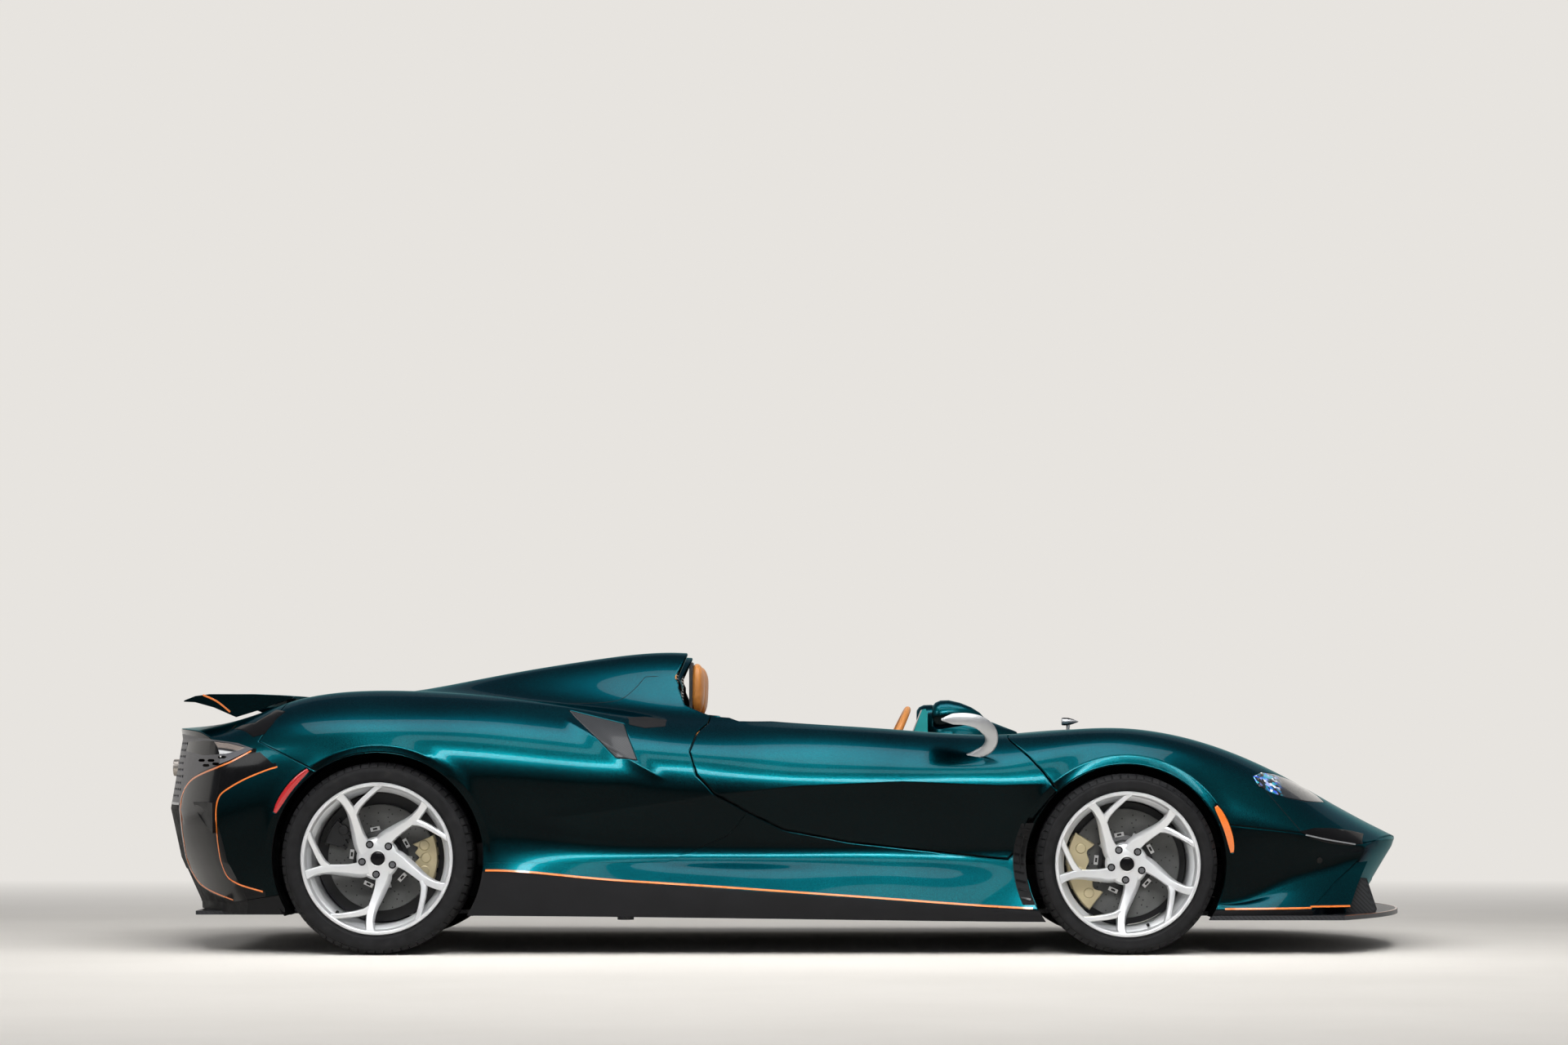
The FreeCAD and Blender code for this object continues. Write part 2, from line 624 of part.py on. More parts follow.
keep(formed("DoorLeft", door_shape.mirror(Vector(0, 0, 0), Vector(0, 1, 0))), "door_left")

# Sills below the doors, from the front arch to the rear arch
SKIRT_INNER = size("tub_half_width") + 2
skirt_line = [(REAR_X, 100), (REAR_X, 326)] + SKIRT_SEAM + [(FRONT_X, 326), (FRONT_X, 100)]
skirt = OUTER.common(prism(skirt_line, -WIDE, -SKIRT_INNER)).cut(ARCHES).cut(WELLS).cut(DOOR_SPACE)
keep(formed("SideSkirts", both_sides(skirt)), "side_skirts")

SPLITTER_START = FRONT_X + 246
# Front splitter: flat plate with the nose's bow, between and ahead of the front wheels
splitter_base = size("splitter_height")
splitter_top = splitter_base + size("splitter_thickness")
reach = size("splitter_reach") - size("nose_tip") + size("nose_radius")
plate = Part.makeCylinder(reach, splitter_top - splitter_base,
                          Vector(size("nose_tip") - size("nose_radius"), 0, splitter_base))
plate = plate.common(block(SPLITTER_START, 2600, -915, 915, 0, 300)).cut(ARCHES).cut(WELLS)
nose_clear = ends_form(-2.0)[0]
for y, back in ((700, 2030), (620, 2052)):
    fin_side = [(back, splitter_top - 1), (back + 96, splitter_top - 1), (back + 102, splitter_top + 12),
                (back + 66, 262), (back + 20, 268)]
    plate = plate.fuse(both_sides(prism(fin_side, y - 2.5, y + 2.5).cut(nose_clear)))
keep(formed("FrontSplitter", plate), "front_splitter")

# Flat floor between the axles and under both ends, with the wheel spaces left open
FLOOR_TOP = 146
JACK_Y = 620
floor_z = FLOOR_TOP - size("floor_thickness")
floor_plate = block(-2130, SPLITTER_START - 0.3, -SKIRT_INNER + 4, SKIRT_INNER - 4, floor_z, FLOOR_TOP).cut(WELLS)
floor_plate = floor_plate.cut(ARCHES)
pieces = [formed("FloorPlate", floor_plate)]
for x in (size("front_jack_place"), -size("rear_jack_place")):
    for y in (-JACK_Y, JACK_Y):
        pad = primitive("Part::Cylinder", "JackPad", place(x, y, 0), Radius="Sizes.jack_pad_radius",
                        Height="Sizes.jack_pad_height + 1")
        pad.setExpression("Placement.Base.z", "%g - Sizes.floor_thickness - Sizes.jack_pad_height" % FLOOR_TOP)
        pieces.append(pad)
keep(joined("Part::MultiFuse", "UnderfloorForm", pieces), "underfloor")

# Black rear bumper with the diffuser: a ramp with four fins in its opening
ramp = prism([(-1960, FLOOR_TOP), (-1960, FLOOR_TOP + 12), (-2170, 300), (-2240, 300),
              (-2240, 288), (-2175, 288), (-1972, FLOOR_TOP)], -640, 640)
ramp_plan = [(-1950, -640), (-2080, -540), (-2140, -372), (-2260, -372),
             (-2260, 372), (-2140, 372), (-2080, 540), (-1950, 640)]
ramp = ramp.common(slab(ramp_plan, 0, 400))
for y in (-345, -115, 115, 345):
    ramp = ramp.fuse(prism([(-1980, FLOOR_TOP + 2), (-2180, 290), (-2225, 290), (-2190, 175),
                            (-2000, FLOOR_TOP + 2)], y - 4, y + 4))
opening = block(-2600, -1955, -365, 365, 100, 288)
floor_half = SKIRT_INNER - 4 + 2 * GAP
floor_room = block(-2130.6, -1600, -floor_half, floor_half, 100, FLOOR_TOP + 2 * GAP)
rear_bumper = SHELL.common(bumper_zone).cut(WELLS).cut(opening).cut(floor_room)
keep(formed("RearDiffuser", rear_bumper.fuse(ramp.common(OUTER))), "rear_diffuser")

# Tub: cabin cell with sills, bulkheads and the subframe rails that carry the suspension
TUB_FRONT = size("tub_length_front")
TUB_REAR = -size("tub_length_rear")
TUB_HALF = size("tub_half_width")
SEAT_CLEARANCE = 0.3
TUB_FLOOR = FLOOR_TOP + SEAT_CLEARANCE
CABIN_FLOOR = TUB_FLOOR + 30
sill_inner = TUB_HALF - size("sill_width")
bulk = size("bulkhead_thickness")
tub = block(TUB_REAR, TUB_FRONT, -TUB_HALF, TUB_HALF, TUB_FLOOR, CABIN_FLOOR)
tub = tub.fuse(both_sides(block(TUB_REAR, TUB_FRONT, sill_inner, TUB_HALF, TUB_FLOOR, size("sill_height"))))
tub = tub.fuse(block(TUB_REAR, TUB_REAR + bulk, -600, 600, TUB_FLOOR, size("rear_bulkhead_height")))
tub = tub.fuse(block(TUB_FRONT - bulk, TUB_FRONT, -620, 620, TUB_FLOOR, size("front_bulkhead_height")))
RAIL_Y0, RAIL_Y1 = 300, 360
front_rail = block(TUB_FRONT - 1, 1900, RAIL_Y0, RAIL_Y1, 190, 300)
front_rail = front_rail.fuse(block(1100, 1345, RAIL_Y0, RAIL_Y1, 299, 500))
rear_rail = block(-1960, TUB_REAR + 1, RAIL_Y0 + 20, RAIL_Y1 + 20, 190, 300)
rear_rail = rear_rail.fuse(block(-1600, -1300, RAIL_Y0 + 20, RAIL_Y1 + 20, 299, 540))
tub = tub.fuse(both_sides(front_rail)).fuse(both_sides(rear_rail))
tub = tub.fuse(block(1880, 1940, -500, 500, 190, 330)).fuse(block(-1960, -1900, -500, 500, 190, 330))
ENGINE_BASE = 200
for x in (-1120, -760):
    tub = tub.fuse(block(x, x + 70, -RAIL_Y0 - 30, RAIL_Y0 + 30, 190, ENGINE_BASE - SEAT_CLEARANCE))
shaft_hole = both_sides(Part.makeCylinder(28, 120, Vector(REAR_X, RAIL_Y0, REAR_Z), Vector(0, 1, 0)))
TUB = tub.cut(WELLS).cut(shaft_hole).fuse(both_sides(hinge_pin))
keep(formed("Tub", TUB), "tub")

# Engine and gearbox as one plain block between the rear rails
engine_x = TUB_REAR - 60 - size("engine_length")
engine = primitive("Part::Box", "EngineBlock", place(engine_x, 0, ENGINE_BASE), Length="Sizes.engine_length",
                   Width="Sizes.engine_width", Height="Sizes.engine_height")
engine.setExpression("Placement.Base.y", "-Sizes.engine_width / 2")
gearbox = primitive("Part::Box", "Gearbox", place(engine_x - size("gearbox_length"), 0, 220),
                    Length="Sizes.gearbox_length", Width="Sizes.gearbox_width", Height="Sizes.gearbox_height")
gearbox.setExpression("Placement.Base.y", "-Sizes.gearbox_width / 2")
DOCUMENT.recompute()
keep(joined("Part::MultiFuse", "PowerUnit", [engine, gearbox]), "engine_block")

# Seats: squab, backrest and headrest as one shape, in front of the rear bulkhead
SEAT_Y = 345
SEAT_HALF = 205
seat_base = CABIN_FLOOR + SEAT_CLEARANCE
seat_side = [(-420, 200), (-400, seat_base), (-60, seat_base), (150, 215), (160, 300), (60, 330), (-180, 290),
             (-262, 400), (-308, 760), (-322, 862), (-368, 868), (-396, 800), (-424, 560)]
seat = prism(seat_side, SEAT_Y - SEAT_HALF, SEAT_Y + SEAT_HALF)
rest_side = [(-352, 840), (-352, 1036), (-340, 1056), (-312, 1058), (-292, 1040), (-288, 980), (-296, 890),
             (-312, 840)]
seat = seat.fuse(prism(rest_side, SEAT_Y - 118, SEAT_Y + 118))
keep(formed("SeatLeft", seat), "seat_left")
keep(formed("SeatRight", seat.mirror(Vector(0, 0, 0), Vector(0, 1, 0))), "seat_right")

# Dashboard across the cockpit, with the central console and the steering column shroud
dash_side = [(560, 560), (520, 640), (535, 730), (600, 775), (680, 745), (700, 700), (700, 600)]
dash = prism(dash_side, -640, 640)
console_side = [(-260, seat_base), (-260, 330), (200, 400), (560, 600), (600, 600), (600, seat_base)]
dash = dash.fuse(prism(console_side, -85, 85))
hood_side = [(545, 700), (500, 800), (534, 884), (548, 886), (556, 870), (556, 700)]
dash = dash.fuse(prism(hood_side, 285, 455))
COLUMN_FOOT = Vector(405, 370, 722)
COLUMN_LINE = Vector(cos(radians(25)), 0, -sin(radians(25)))
shroud = Part.makeCylinder(48, 190, COLUMN_FOOT + COLUMN_LINE * 30, COLUMN_LINE)
dash = dash.fuse(shroud)
shaft_radius = 14
bore = Part.makeCylinder(shaft_radius + size("axle_clearance"), 60, COLUMN_FOOT + COLUMN_LINE * 30, COLUMN_LINE)
keep(formed("Dashboard", dash.cut(bore)), "dashboard")

# Steering wheel: rim, three spokes, boss and stub shaft
pieces = [primitive("Part::Torus", "GripRing", Radius1="Sizes.wheel_rim_radius", Radius2="Sizes.wheel_rim_grip"),
          primitive("Part::Cylinder", "WheelBoss", place(0, 0, -8), Radius="52", Height="34"),
          primitive("Part::Cylinder", "WheelStub", place(0, 0, 20), Radius="%g" % shaft_radius, Height="58")]
for angle in (0, 180, 270):
    turn = place(0, 0, 0, Vector(0, 0, 1), angle).multiply(place(40, -17, -6))
    pieces.append(primitive("Part::Box", "WheelSpoke", turn, Length="Sizes.wheel_rim_radius - 40",
                            Width="34", Height="12"))
wheel_turn = Rotation(Vector(0, 1, 0), Vector(0, 0, 1), COLUMN_LINE, "ZYX")
steering_form = joined("Part::MultiFuse", "SteeringWheelForm", pieces)
steering_form.Placement = Placement(COLUMN_FOOT, wheel_turn)
keep(steering_form, "steering_wheel")

# Spoiler: a blade over the tail, hinged along its leading edge
blade = prism([(-1800, 918), (-1850, 905), (-2185, 900), (-2190, 912), (-2000, 930), (-1850, 928)],
              -spoiler_end, spoiler_end)
end_plate = prism([(-2093, 903), (-2085, 880), (-2010, 842), (-1926, 868), (-1866, 903)], 0, 12)
end_plate.translate(Vector(0, spoiler_end - 12, 0))
keep(formed("RearSpoiler", blade.fuse([both_sides(lug), both_sides(end_plate)])), "rear_spoiler")

# Rear mesh with rows of long six-sided slots; two exhausts pass through it
SLOT_LONG = size("grille_slot_length")
SLOT_HIGH = size("grille_slot_height")
PIPE_Z = 660
pipe_radius = size("exhaust_radius")


def slot_outline(centre, height):
    """Six corners of one slot about its centre."""
    half = SLOT_LONG / 2
    tip = half - SLOT_HIGH / 2
    rise = SLOT_HIGH / 2
    return [(centre - half, height), (centre - tip, height + rise), (centre + tip, height + rise),
            (centre + half, height), (centre + tip, height - rise), (centre - tip, height - rise)]


def back_slot(y, z):
    corners = [Vector(-2400, a, b) for a, b in slot_outline(y, z)]
    return Part.Face(Part.makePolygon(corners + corners[:1])).extrude(Vector(320, 0, 0))


slots = []
rows = 9
for row in range(rows):
    z = MESH_FOOT + 28 + size("grille_row_pitch") * row
    shift = size("grille_pitch") / 2 * (row % 2)
    for column in range(-11, 12):
        y = column * size("grille_pitch") + shift
        past_pipe = abs(abs(y) - 70) > pipe_radius + 24 or abs(z - PIPE_Z) > pipe_radius + 12
        if abs(y) < 500 - 0.12 * (z - MESH_FOOT) and past_pipe:
            slots.append(back_slot(y, z))
side_slots = [prism(slot_outline(x, z), -WIDE, -650)
              for x, z in ((-2015, 702), (-2062, 690), (-2040, 678), (-2085, 672), (-2108, 690))]
pipe_line = [Part.makeCylinder(pipe_radius + 2 * GAP, 400, Vector(-2500, y, PIPE_Z), Vector(1, 0, 0))
             for y in (-70, 70)]
mesh = SHELL.common(mesh_zone).cut(REAR_LAMPS).cut(slots + pipe_line + [both_sides(side) for side in side_slots])
keep(formed("RearGrille", mesh), "rear_grille")
pieces = []
for y in (-70, 70):
    outside = primitive("Part::Cylinder", "PipeOutside", along(-2302, y, PIPE_Z), Radius="Sizes.exhaust_radius",
                        Height="320")
    inside = primitive("Part::Cylinder", "PipeInside", along(-2303, y, PIPE_Z),
                       Radius="Sizes.exhaust_radius - Sizes.exhaust_wall", Height="180")
    pieces.append(cut("Pipe", outside, inside))
silencer = primitive("Part::Box", "Silencer", place(-2105, -180, 590), Length="120", Width="360", Height="170")
keep(joined("Part::MultiFuse", "ExhaustForm", pieces + [silencer]), "exhausts")

# Wheel-arch liners, just inside the wheel spaces
liner = size("liner_thickness")
front_liner = wheel_space(FRONT_X, FRONT_Z, size("front_well_radius") - 0.3, 545, 860).cut(
    wheel_space(FRONT_X, FRONT_Z, size("front_well_radius") - 0.3 - liner, 540, 870))
rear_liner = wheel_space(REAR_X, REAR_Z, size("rear_well_radius") - 0.3, 585, 880).cut(
    wheel_space(REAR_X, REAR_Z, size("rear_well_radius") - 0.3 - liner, 580, 890))
liners = front_liner.fuse(rear_liner).common(block(-2600, 2600, -WIDE, WIDE, FLOOR_TOP - 10, 1300))
keep(formed("ArchLiners", liners), "arch_liners")

# Door mirrors: a bullet on a cranked arm that stands on the door
bullet = turned([(0, -100), (22, -96), (40, -70), (52, -20), (56, 30), (54, 78), (46, 90), (0, 92)],
                Vector(640, -862, 850), Vector(-1, 0, 0))
bullet.rotate(Vector(640, -862, 850), Vector(0, 0, 1), -6)
arm_points = [Vector(640, -918, 838), Vector(692, -914, 838), Vector(740, -900, 820), Vector(760, -884, 786),
              Vector(750, -866, 744), Vector(716, -852, 714), Vector(660, -838, 692)]
mirror = bullet
for a, b in zip(arm_points, arm_points[1:]):
    mirror = mirror.fuse([Part.makeCylinder(8, (b - a).Length, a, b - a), Part.makeSphere(8, b)])
mirror = mirror.cut(door_shape)
keep(formed("MirrorRight", mirror), "mirror_right")
keep(formed("MirrorLeft", mirror.mirror(Vector(0, 0, 0), Vector(0, 1, 0))), "mirror_left")

BALL_RADIUS = 20

# Swirled spokes: centre lines as (share of the rim radius, angle), and the drop of the face below the rim
SPOKE_LINE = ((0.17, 147), (0.25, 138.5), (0.40, 128), (0.57, 121.5), (0.70, 119.3), (0.82, 119.4),
              (0.90, 120.2), (0.965, 121.2))
BRANCH_LINE = ((0.66, 118.2), (0.715, 113), (0.765, 106.5), (0.83, 98.8), (0.90, 92.6), (0.965, 87.6))
SPOKE_HALF = (30, 28, 24, 21, 18, 16, 15, 16)
BRANCH_HALF = (11, 10, 9, 9, 9, 10)
FACE_LINE = ((0.0, 50), (0.25, 49), (0.40, 45), (0.57, 37), (0.70, 29), (0.82, 20.5), (0.90, 14.5), (0.98, 10))
SPOKE_DEPTH = 34


def arm_face(line, halves, radius):
    """Plan outline of one spoke arm about its centre line."""
    middle = [Vector(share * radius * cos(radians(angle)), share * radius * sin(radians(angle)), 0)
              for share, angle in line]
    left, right = [], []
    for k, point in enumerate(middle):
        run = middle[min(k + 1, len(middle) - 1)] - middle[max(k - 1, 0)]
        beside = Vector(-run.y, run.x, 0).normalize() * halves[k]
        left.append(point + beside)
        right.append(point - beside)
    corners = left + right[::-1]
    return Part.Face(Part.makePolygon(corners + corners[:1]))


def star(end):
    """Five swirled spokes, each with a branch, under a dished face."""
    radius = size(end + "_rim_radius")
    half = size(end + "_tyre_width") / 2
    arms = []
    for line, halves in ((SPOKE_LINE, SPOKE_HALF), (BRANCH_LINE, BRANCH_HALF)):
        bar = arm_face(line, halves, radius)
        bar.translate(Vector(0, 0, half - 110))
        for k in range(5):
            arm = bar.extrude(Vector(0, 0, 110))
            arm.rotate(Vector(0, 0, 0), Vector(0, 0, 1), 72 * k)
            arms.append(arm)
    top = [(share * radius, half - drop) for share, drop in FACE_LINE]
    under = [(r, z - SPOKE_DEPTH) for r, z in reversed(top)]
    dish = turned(top + under, Vector(0, 0, 0)).common(Part.makeCylinder(radius - 10, 400, Vector(0, 0, -100)))
    hat_room = Part.makeCylinder(size("hub_radius") - 2, 100, Vector(0, 0, half - 160))
    return arms[0].fuse(arms[1:]).common(dish).cut(hat_room)


def wheel_set(front, side):
    """Tyre, rim and disc of one wheel; side is -1 on the right and 1 on the left."""
    end = "Front" if front else "Rear"
    low = end.lower()
    hand = "Right" if side < 0 else "Left"
    x = FRONT_X if front else REAR_X
    z = FRONT_Z if front else REAR_Z
    centre = Vector(x, side * size(low + "_wheel_offset"), z)
    facing = Placement(centre, Rotation(Vector(1, 0, 0), 90 if side < 0 else -90))
    outer_radius = size(low + "_tyre_radius")
    half = size(low + "_tyre_width") / 2
    rim_radius = size(low + "_rim_radius")
    bead = rim_radius - 9
    tyre_line = [(bead, -half + 14), (rim_radius + 0.5, -half + 14), (rim_radius + 8, -half + 7),
                 ((rim_radius + outer_radius) / 2, -half),
                 (outer_radius - 14, -half + 8), (outer_radius - 4, -half + 26), (outer_radius, 0),
                 (outer_radius - 4, half - 26), (outer_radius - 14, half - 8),
                 ((rim_radius + outer_radius) / 2, half), (rim_radius + 8, half - 7),
                 (rim_radius + 0.5, half - 14), (bead, half - 14)]
    tyre = turned(tyre_line, Vector(0, 0, 0))
    keep(formed("Tyre" + end + hand, tyre, facing), "tyre_%s_%s" % (low, hand.lower()))
    wall = size("rim_wall")
    barrel_line = [(bead, -half + 14), (bead, half - 14), (rim_radius, half - 14), (rim_radius, half - 8),
                   (bead - wall, half - 8), (bead - wall, -half + 8), (rim_radius, -half + 8),
                   (rim_radius, -half + 14)]
    barrel = turned(barrel_line, Vector(0, 0, 0))
    face_z = half - 40
    hub = Part.makeCylinder(size("hub_radius"), 14, Vector(0, 0, face_z - 20))
    rim = barrel.fuse([hub, star(low)])
    keep(formed("Rim" + end + hand, rim, facing), "rim_%s_%s" % (low, hand.lower()))
    disc_radius = size(low + "_disc_radius")
    disc_low = -45
    disc = Part.makeCylinder(disc_radius, size("disc_thickness"), Vector(0, 0, disc_low)).cut(
        Part.makeCylinder(100, size("disc_thickness"), Vector(0, 0, disc_low)))
    hat = turned([(24, face_z - 32), (24, face_z - 20), (72, face_z - 20), (72, face_z - 32)], Vector(0, 0, 0))
    bell = turned([(66, disc_low + 8), (66, face_z - 20), (73, face_z - 20), (73, disc_low + 20),
                   (101, disc_low + 20), (101, disc_low + 8)], Vector(0, 0, 0))
    axle = Part.makeCylinder(size("axle_radius"), face_z - 20 + half - 14, Vector(0, 0, -half + 14))
    disc = disc.fuse([hat, bell, axle])
    keep(formed("Disc" + end + hand, disc, facing), "disc_%s_%s" % (low, hand.lower()))

    bore_radius = size("axle_radius") + size("axle_clearance")
    kingpin = -size("kingpin_offset")
    ball = size("ball_height")
    carrier = Part.makeCylinder(58, 34, Vector(0, 0, kingpin - 17))
    arm_reach = ball - BALL_RADIUS - 0.3
    carrier = carrier.fuse(Part.makeCylinder(20, 2 * arm_reach, Vector(0, -arm_reach, kingpin), Vector(0, 1, 0)))
    carrier = carrier.cut(Part.makeCylinder(bore_radius, 60, Vector(0, 0, kingpin - 30)))
    outward = -1 if front else 1
    bracket = block(*sorted((outward * 30, outward * (disc_radius - 20))), -50, 50,
                    kingpin - 13, disc_low - 26 - SEAT_CLEARANCE)
    carrier = carrier.fuse(bracket)
    caliper_arc = turned([(disc_radius - 72, disc_low - 26), (disc_radius + 18, disc_low - 26),
                          (disc_radius + 18, disc_low + 60), (disc_radius - 72, disc_low + 60),
                          (disc_radius - 72, disc_low + 38), (disc_radius + 5, disc_low + 38),
                          (disc_radius + 5, disc_low - 4), (disc_radius - 72, disc_low - 4)],
                         Vector(0, 0, 0))
    reach_in = disc_radius + 30
    window = Part.makeBox(reach_in, 190, 200, Vector(-reach_in if front else 0, -95, -100))
    caliper = caliper_arc.common(window)
    if not front:
        park_low = 28 if side < 0 else -104
        park_high = park_low + 76
        park_window = block(-reach_in, 0, park_low, park_high, -100, 100)
        caliper = caliper.fuse(caliper_arc.common(park_window))
        park_bracket = block(20 - disc_radius, -20, park_low, park_high, kingpin - 13, disc_low - 26 - SEAT_CLEARANCE)
        carrier = carrier.fuse(park_bracket)
        carrier = carrier.cut(Part.makeCylinder(bore_radius, 60, Vector(0, 0, kingpin - 30)))
    return facing, carrier, caliper


for front in (True, False):
    carriers = []
    calipers = []
    for side in (-1, 1):
        facing, carrier, caliper = wheel_set(front, side)
        carrier.Placement = facing
        caliper.Placement = facing
        hand = "right" if side < 0 else "left"
        if front:
            keep(formed("Knuckle" + hand.title(), carrier), "knuckle_front_" + hand)
            keep(formed("Caliper" + hand.title(), caliper), "caliper_front_" + hand)
        carriers.append(carrier)
        calipers.append(caliper)
    if not front:
        keep(formed("RearUprights", carriers[0].fuse(carriers[1])), "rear_uprights")
        keep(formed("RearCalipers", calipers[0].fuse(calipers[1])), "rear_calipers")


def wishbones(x, wheel_y, wheel_z, rail_y):
    """Upper and lower A-arms from the rail to the ball joints, on both sides."""
    ball_y = wheel_y - size("kingpin_offset")
    arms = []
    for height in (wheel_z - size("ball_height"), wheel_z + size("ball_height")):
        tip = Vector(x, ball_y, height)
        for dx in (-110, 110):
            inner = Vector(x + dx, rail_y, height)
            run = inner - tip
            arms.append(Part.makeCylinder(12, run.Length, tip, run))
        arms.append(Part.makeSphere(BALL_RADIUS, tip))
    return both_sides(arms[0].fuse(arms[1:])).cut(TUB)


keep(formed("FrontWishbones", wishbones(FRONT_X, size("front_wheel_offset"), FRONT_Z, RAIL_Y1)), "front_wishbones")
keep(formed("RearWishbones", wishbones(REAR_X, size("rear_wheel_offset"), REAR_Z, RAIL_Y1 + 20)), "rear_wishbones")

shaft_run = "Sizes.rear_wheel_offset - Sizes.rear_tyre_width / 2 + 13 - Sizes.gearbox_width / 2"
half_shaft = primitive("Part::Cylinder", "HalfShaft", across(REAR_X, 0, REAR_Z), Radius="16", Height=shaft_run)
half_shaft.setExpression("Placement.Base.y", "Sizes.gearbox_width / 2")
other_shaft = DOCUMENT.addObject("Part::Mirroring", "OtherHalfShaft")
other_shaft.Source = half_shaft
other_shaft.Normal = Vector(0, 1, 0)
keep(joined("Part::MultiFuse", "HalfShaftPair", [half_shaft, other_shaft]), "half_shafts")

DOCUMENT.recompute()
for item in DOCUMENT.Objects:
    if "Invalid" in item.State or "Error" in item.State:
        raise RuntimeError("failed object " + item.Label)
os.makedirs("parts", exist_ok=True)
for item in SUBPARTS:
    if item.Shape.isNull() or not item.Shape.isValid():
        raise RuntimeError("bad shape in " + item.Label)
for item in SUBPARTS:
    print(item.Label, len(item.Shape.Solids), round(item.Shape.Volume / 1e6, 2))
    item.Shape.exportStep("parts/" + item.Label + ".step")
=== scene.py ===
"""Open two-seat mid-engined sports car in dark teal: finishes, panels, wheels and cabin trim."""

import bmesh
import bpy
import math
import numpy as np
from mathutils import Matrix, Vector
from mathutils.geometry import delaunay_2d_cdt
from mathutils.kdtree import KDTree


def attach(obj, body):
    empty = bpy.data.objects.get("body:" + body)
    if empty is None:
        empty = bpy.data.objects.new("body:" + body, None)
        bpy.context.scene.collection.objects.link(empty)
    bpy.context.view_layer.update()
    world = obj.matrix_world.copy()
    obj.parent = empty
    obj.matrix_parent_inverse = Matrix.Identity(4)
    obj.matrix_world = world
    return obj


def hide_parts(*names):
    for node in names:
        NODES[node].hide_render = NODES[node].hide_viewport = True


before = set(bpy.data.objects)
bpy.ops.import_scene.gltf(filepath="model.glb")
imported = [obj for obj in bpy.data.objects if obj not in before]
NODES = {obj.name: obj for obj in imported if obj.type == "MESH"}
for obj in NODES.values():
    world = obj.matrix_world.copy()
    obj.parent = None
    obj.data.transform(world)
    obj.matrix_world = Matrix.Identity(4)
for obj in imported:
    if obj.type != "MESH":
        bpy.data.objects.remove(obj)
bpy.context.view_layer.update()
MM = 0.001

# Body skin: half sections of the bodywork in millimetres, as the panels are cut from it
ROW_STEPS = (75, 85, 95, 130, 130, 170, 100, 130, 130, 200, 220)
SECTIONS = {
    -2600: ((735, 178), (760, 246), (775, 334), (785, 430), (785, 536), (762, 642),
            (700, 722), (630, 752), (530, 766), (410, 772), (200, 776), (0, 777)),
    -2340: ((790, 170), (812, 240), (828, 330), (838, 430), (838, 540), (815, 650),
            (745, 740), (670, 775), (560, 792), (430, 798), (210, 802), (0, 803)),
    -2100: ((840, 172), (862, 245), (878, 335), (888, 435), (890, 560), (865, 680),
            (775, 775), (690, 805), (570, 818), (430, 822), (210, 822), (0, 822)),
    -1790: ((900, 200), (915, 270), (925, 355), (935, 460), (940, 600), (900, 760),
            (730, 895), (650, 900), (550, 896), (430, 888), (220, 866), (0, 860)),
    -1447: ((935, 250), (948, 320), (958, 400), (968, 500), (972, 640), (928, 795),
            (722, 937), (640, 938), (540, 932), (430, 930), (225, 882), (0, 872)),
    -1070: ((948, 297), (942, 350), (940, 425), (952, 525), (966, 655), (915, 795),
            (722, 922), (640, 918), (540, 952), (430, 998), (230, 925), (0, 898)),
    -700: ((944, 271), (916, 318), (896, 375), (908, 470), (936, 610), (892, 750),
           (722, 873), (645, 888), (535, 985), (425, 1059), (230, 985), (0, 935)),
    -350: ((940, 246), (900, 302), (862, 356), (874, 455), (914, 595), (882, 715),
           (744, 822), (660, 872), (545, 1005), (425, 1083), (230, 1010), (0, 960)),
    0: ((938, 221), (888, 290), (842, 352), (854, 445), (902, 587), (872, 693),
        (742, 806), (655, 840), (545, 930), (430, 1000), (225, 960), (0, 930)),
    400: ((935, 192), (885, 272), (832, 350), (846, 435), (900, 587), (866, 692),
          (735, 792), (640, 806), (535, 830), (430, 855), (220, 845), (0, 835)),
    800: ((925, 163), (880, 255), (835, 345), (850, 430), (906, 590), (860, 702),
          (722, 782), (630, 778), (525, 772), (420, 768), (220, 765), (0, 765)),
    1222: ((915, 152), (918, 240), (926, 340), (938, 445), (942, 565), (882, 722),
           (722, 806), (620, 796), (515, 765), (420, 748), (220, 735), (0, 732)),
    1560: ((915, 160), (903, 178), (897, 200), (912, 355), (917, 510), (850, 655),
           (690, 742), (590, 736), (500, 715), (410, 700), (215, 688), (0, 685)),
    1850: ((895, 160), (860, 205), (835, 262), (868, 370), (880, 470), (800, 575),
           (640, 632), (545, 632), (470, 622), (400, 611), (210, 600), (0, 596)),
    2100: ((855, 162), (805, 225), (765, 305), (800, 365), (820, 420), (740, 480),
           (590, 512), (500, 512), (440, 508), (380, 503), (200, 497), (0, 494)),
    2295: ((800, 165), (730, 245), (685, 330), (705, 362), (715, 385), (640, 408),
           (520, 418), (440, 418), (380, 415), (320, 411), (170, 404), (0, 400)),
    2350: ((785, 165), (705, 248), (655, 322), (670, 350), (675, 368), (600, 385),
           (490, 392), (410, 391), (350, 388), (290, 384), (160, 377), (0, 373)),
}
BOW_HALF_WIDTH = 950
FRONT_HUB = (1222.5, 322.0)
REAR_HUB = (-1447.5, 342.0)
NOSE_BOW = (1400, 895, 340)
TAIL_BOW = (-1700, 600, 260)


def spline_operator(xs):
    """Matrix that turns values at xs into the natural cubic spline's second derivatives."""
    count = len(xs)
    step = np.diff(xs)
    system = np.eye(count)
    right = np.zeros((count, count))
    for i in range(1, count - 1):
        system[i, i - 1:i + 2] = step[i - 1], 2 * (step[i - 1] + step[i]), step[i]
        right[i, i - 1:i + 2] = 6 / step[i - 1], -6 / step[i - 1] - 6 / step[i], 6 / step[i]
    return np.linalg.solve(system, right)


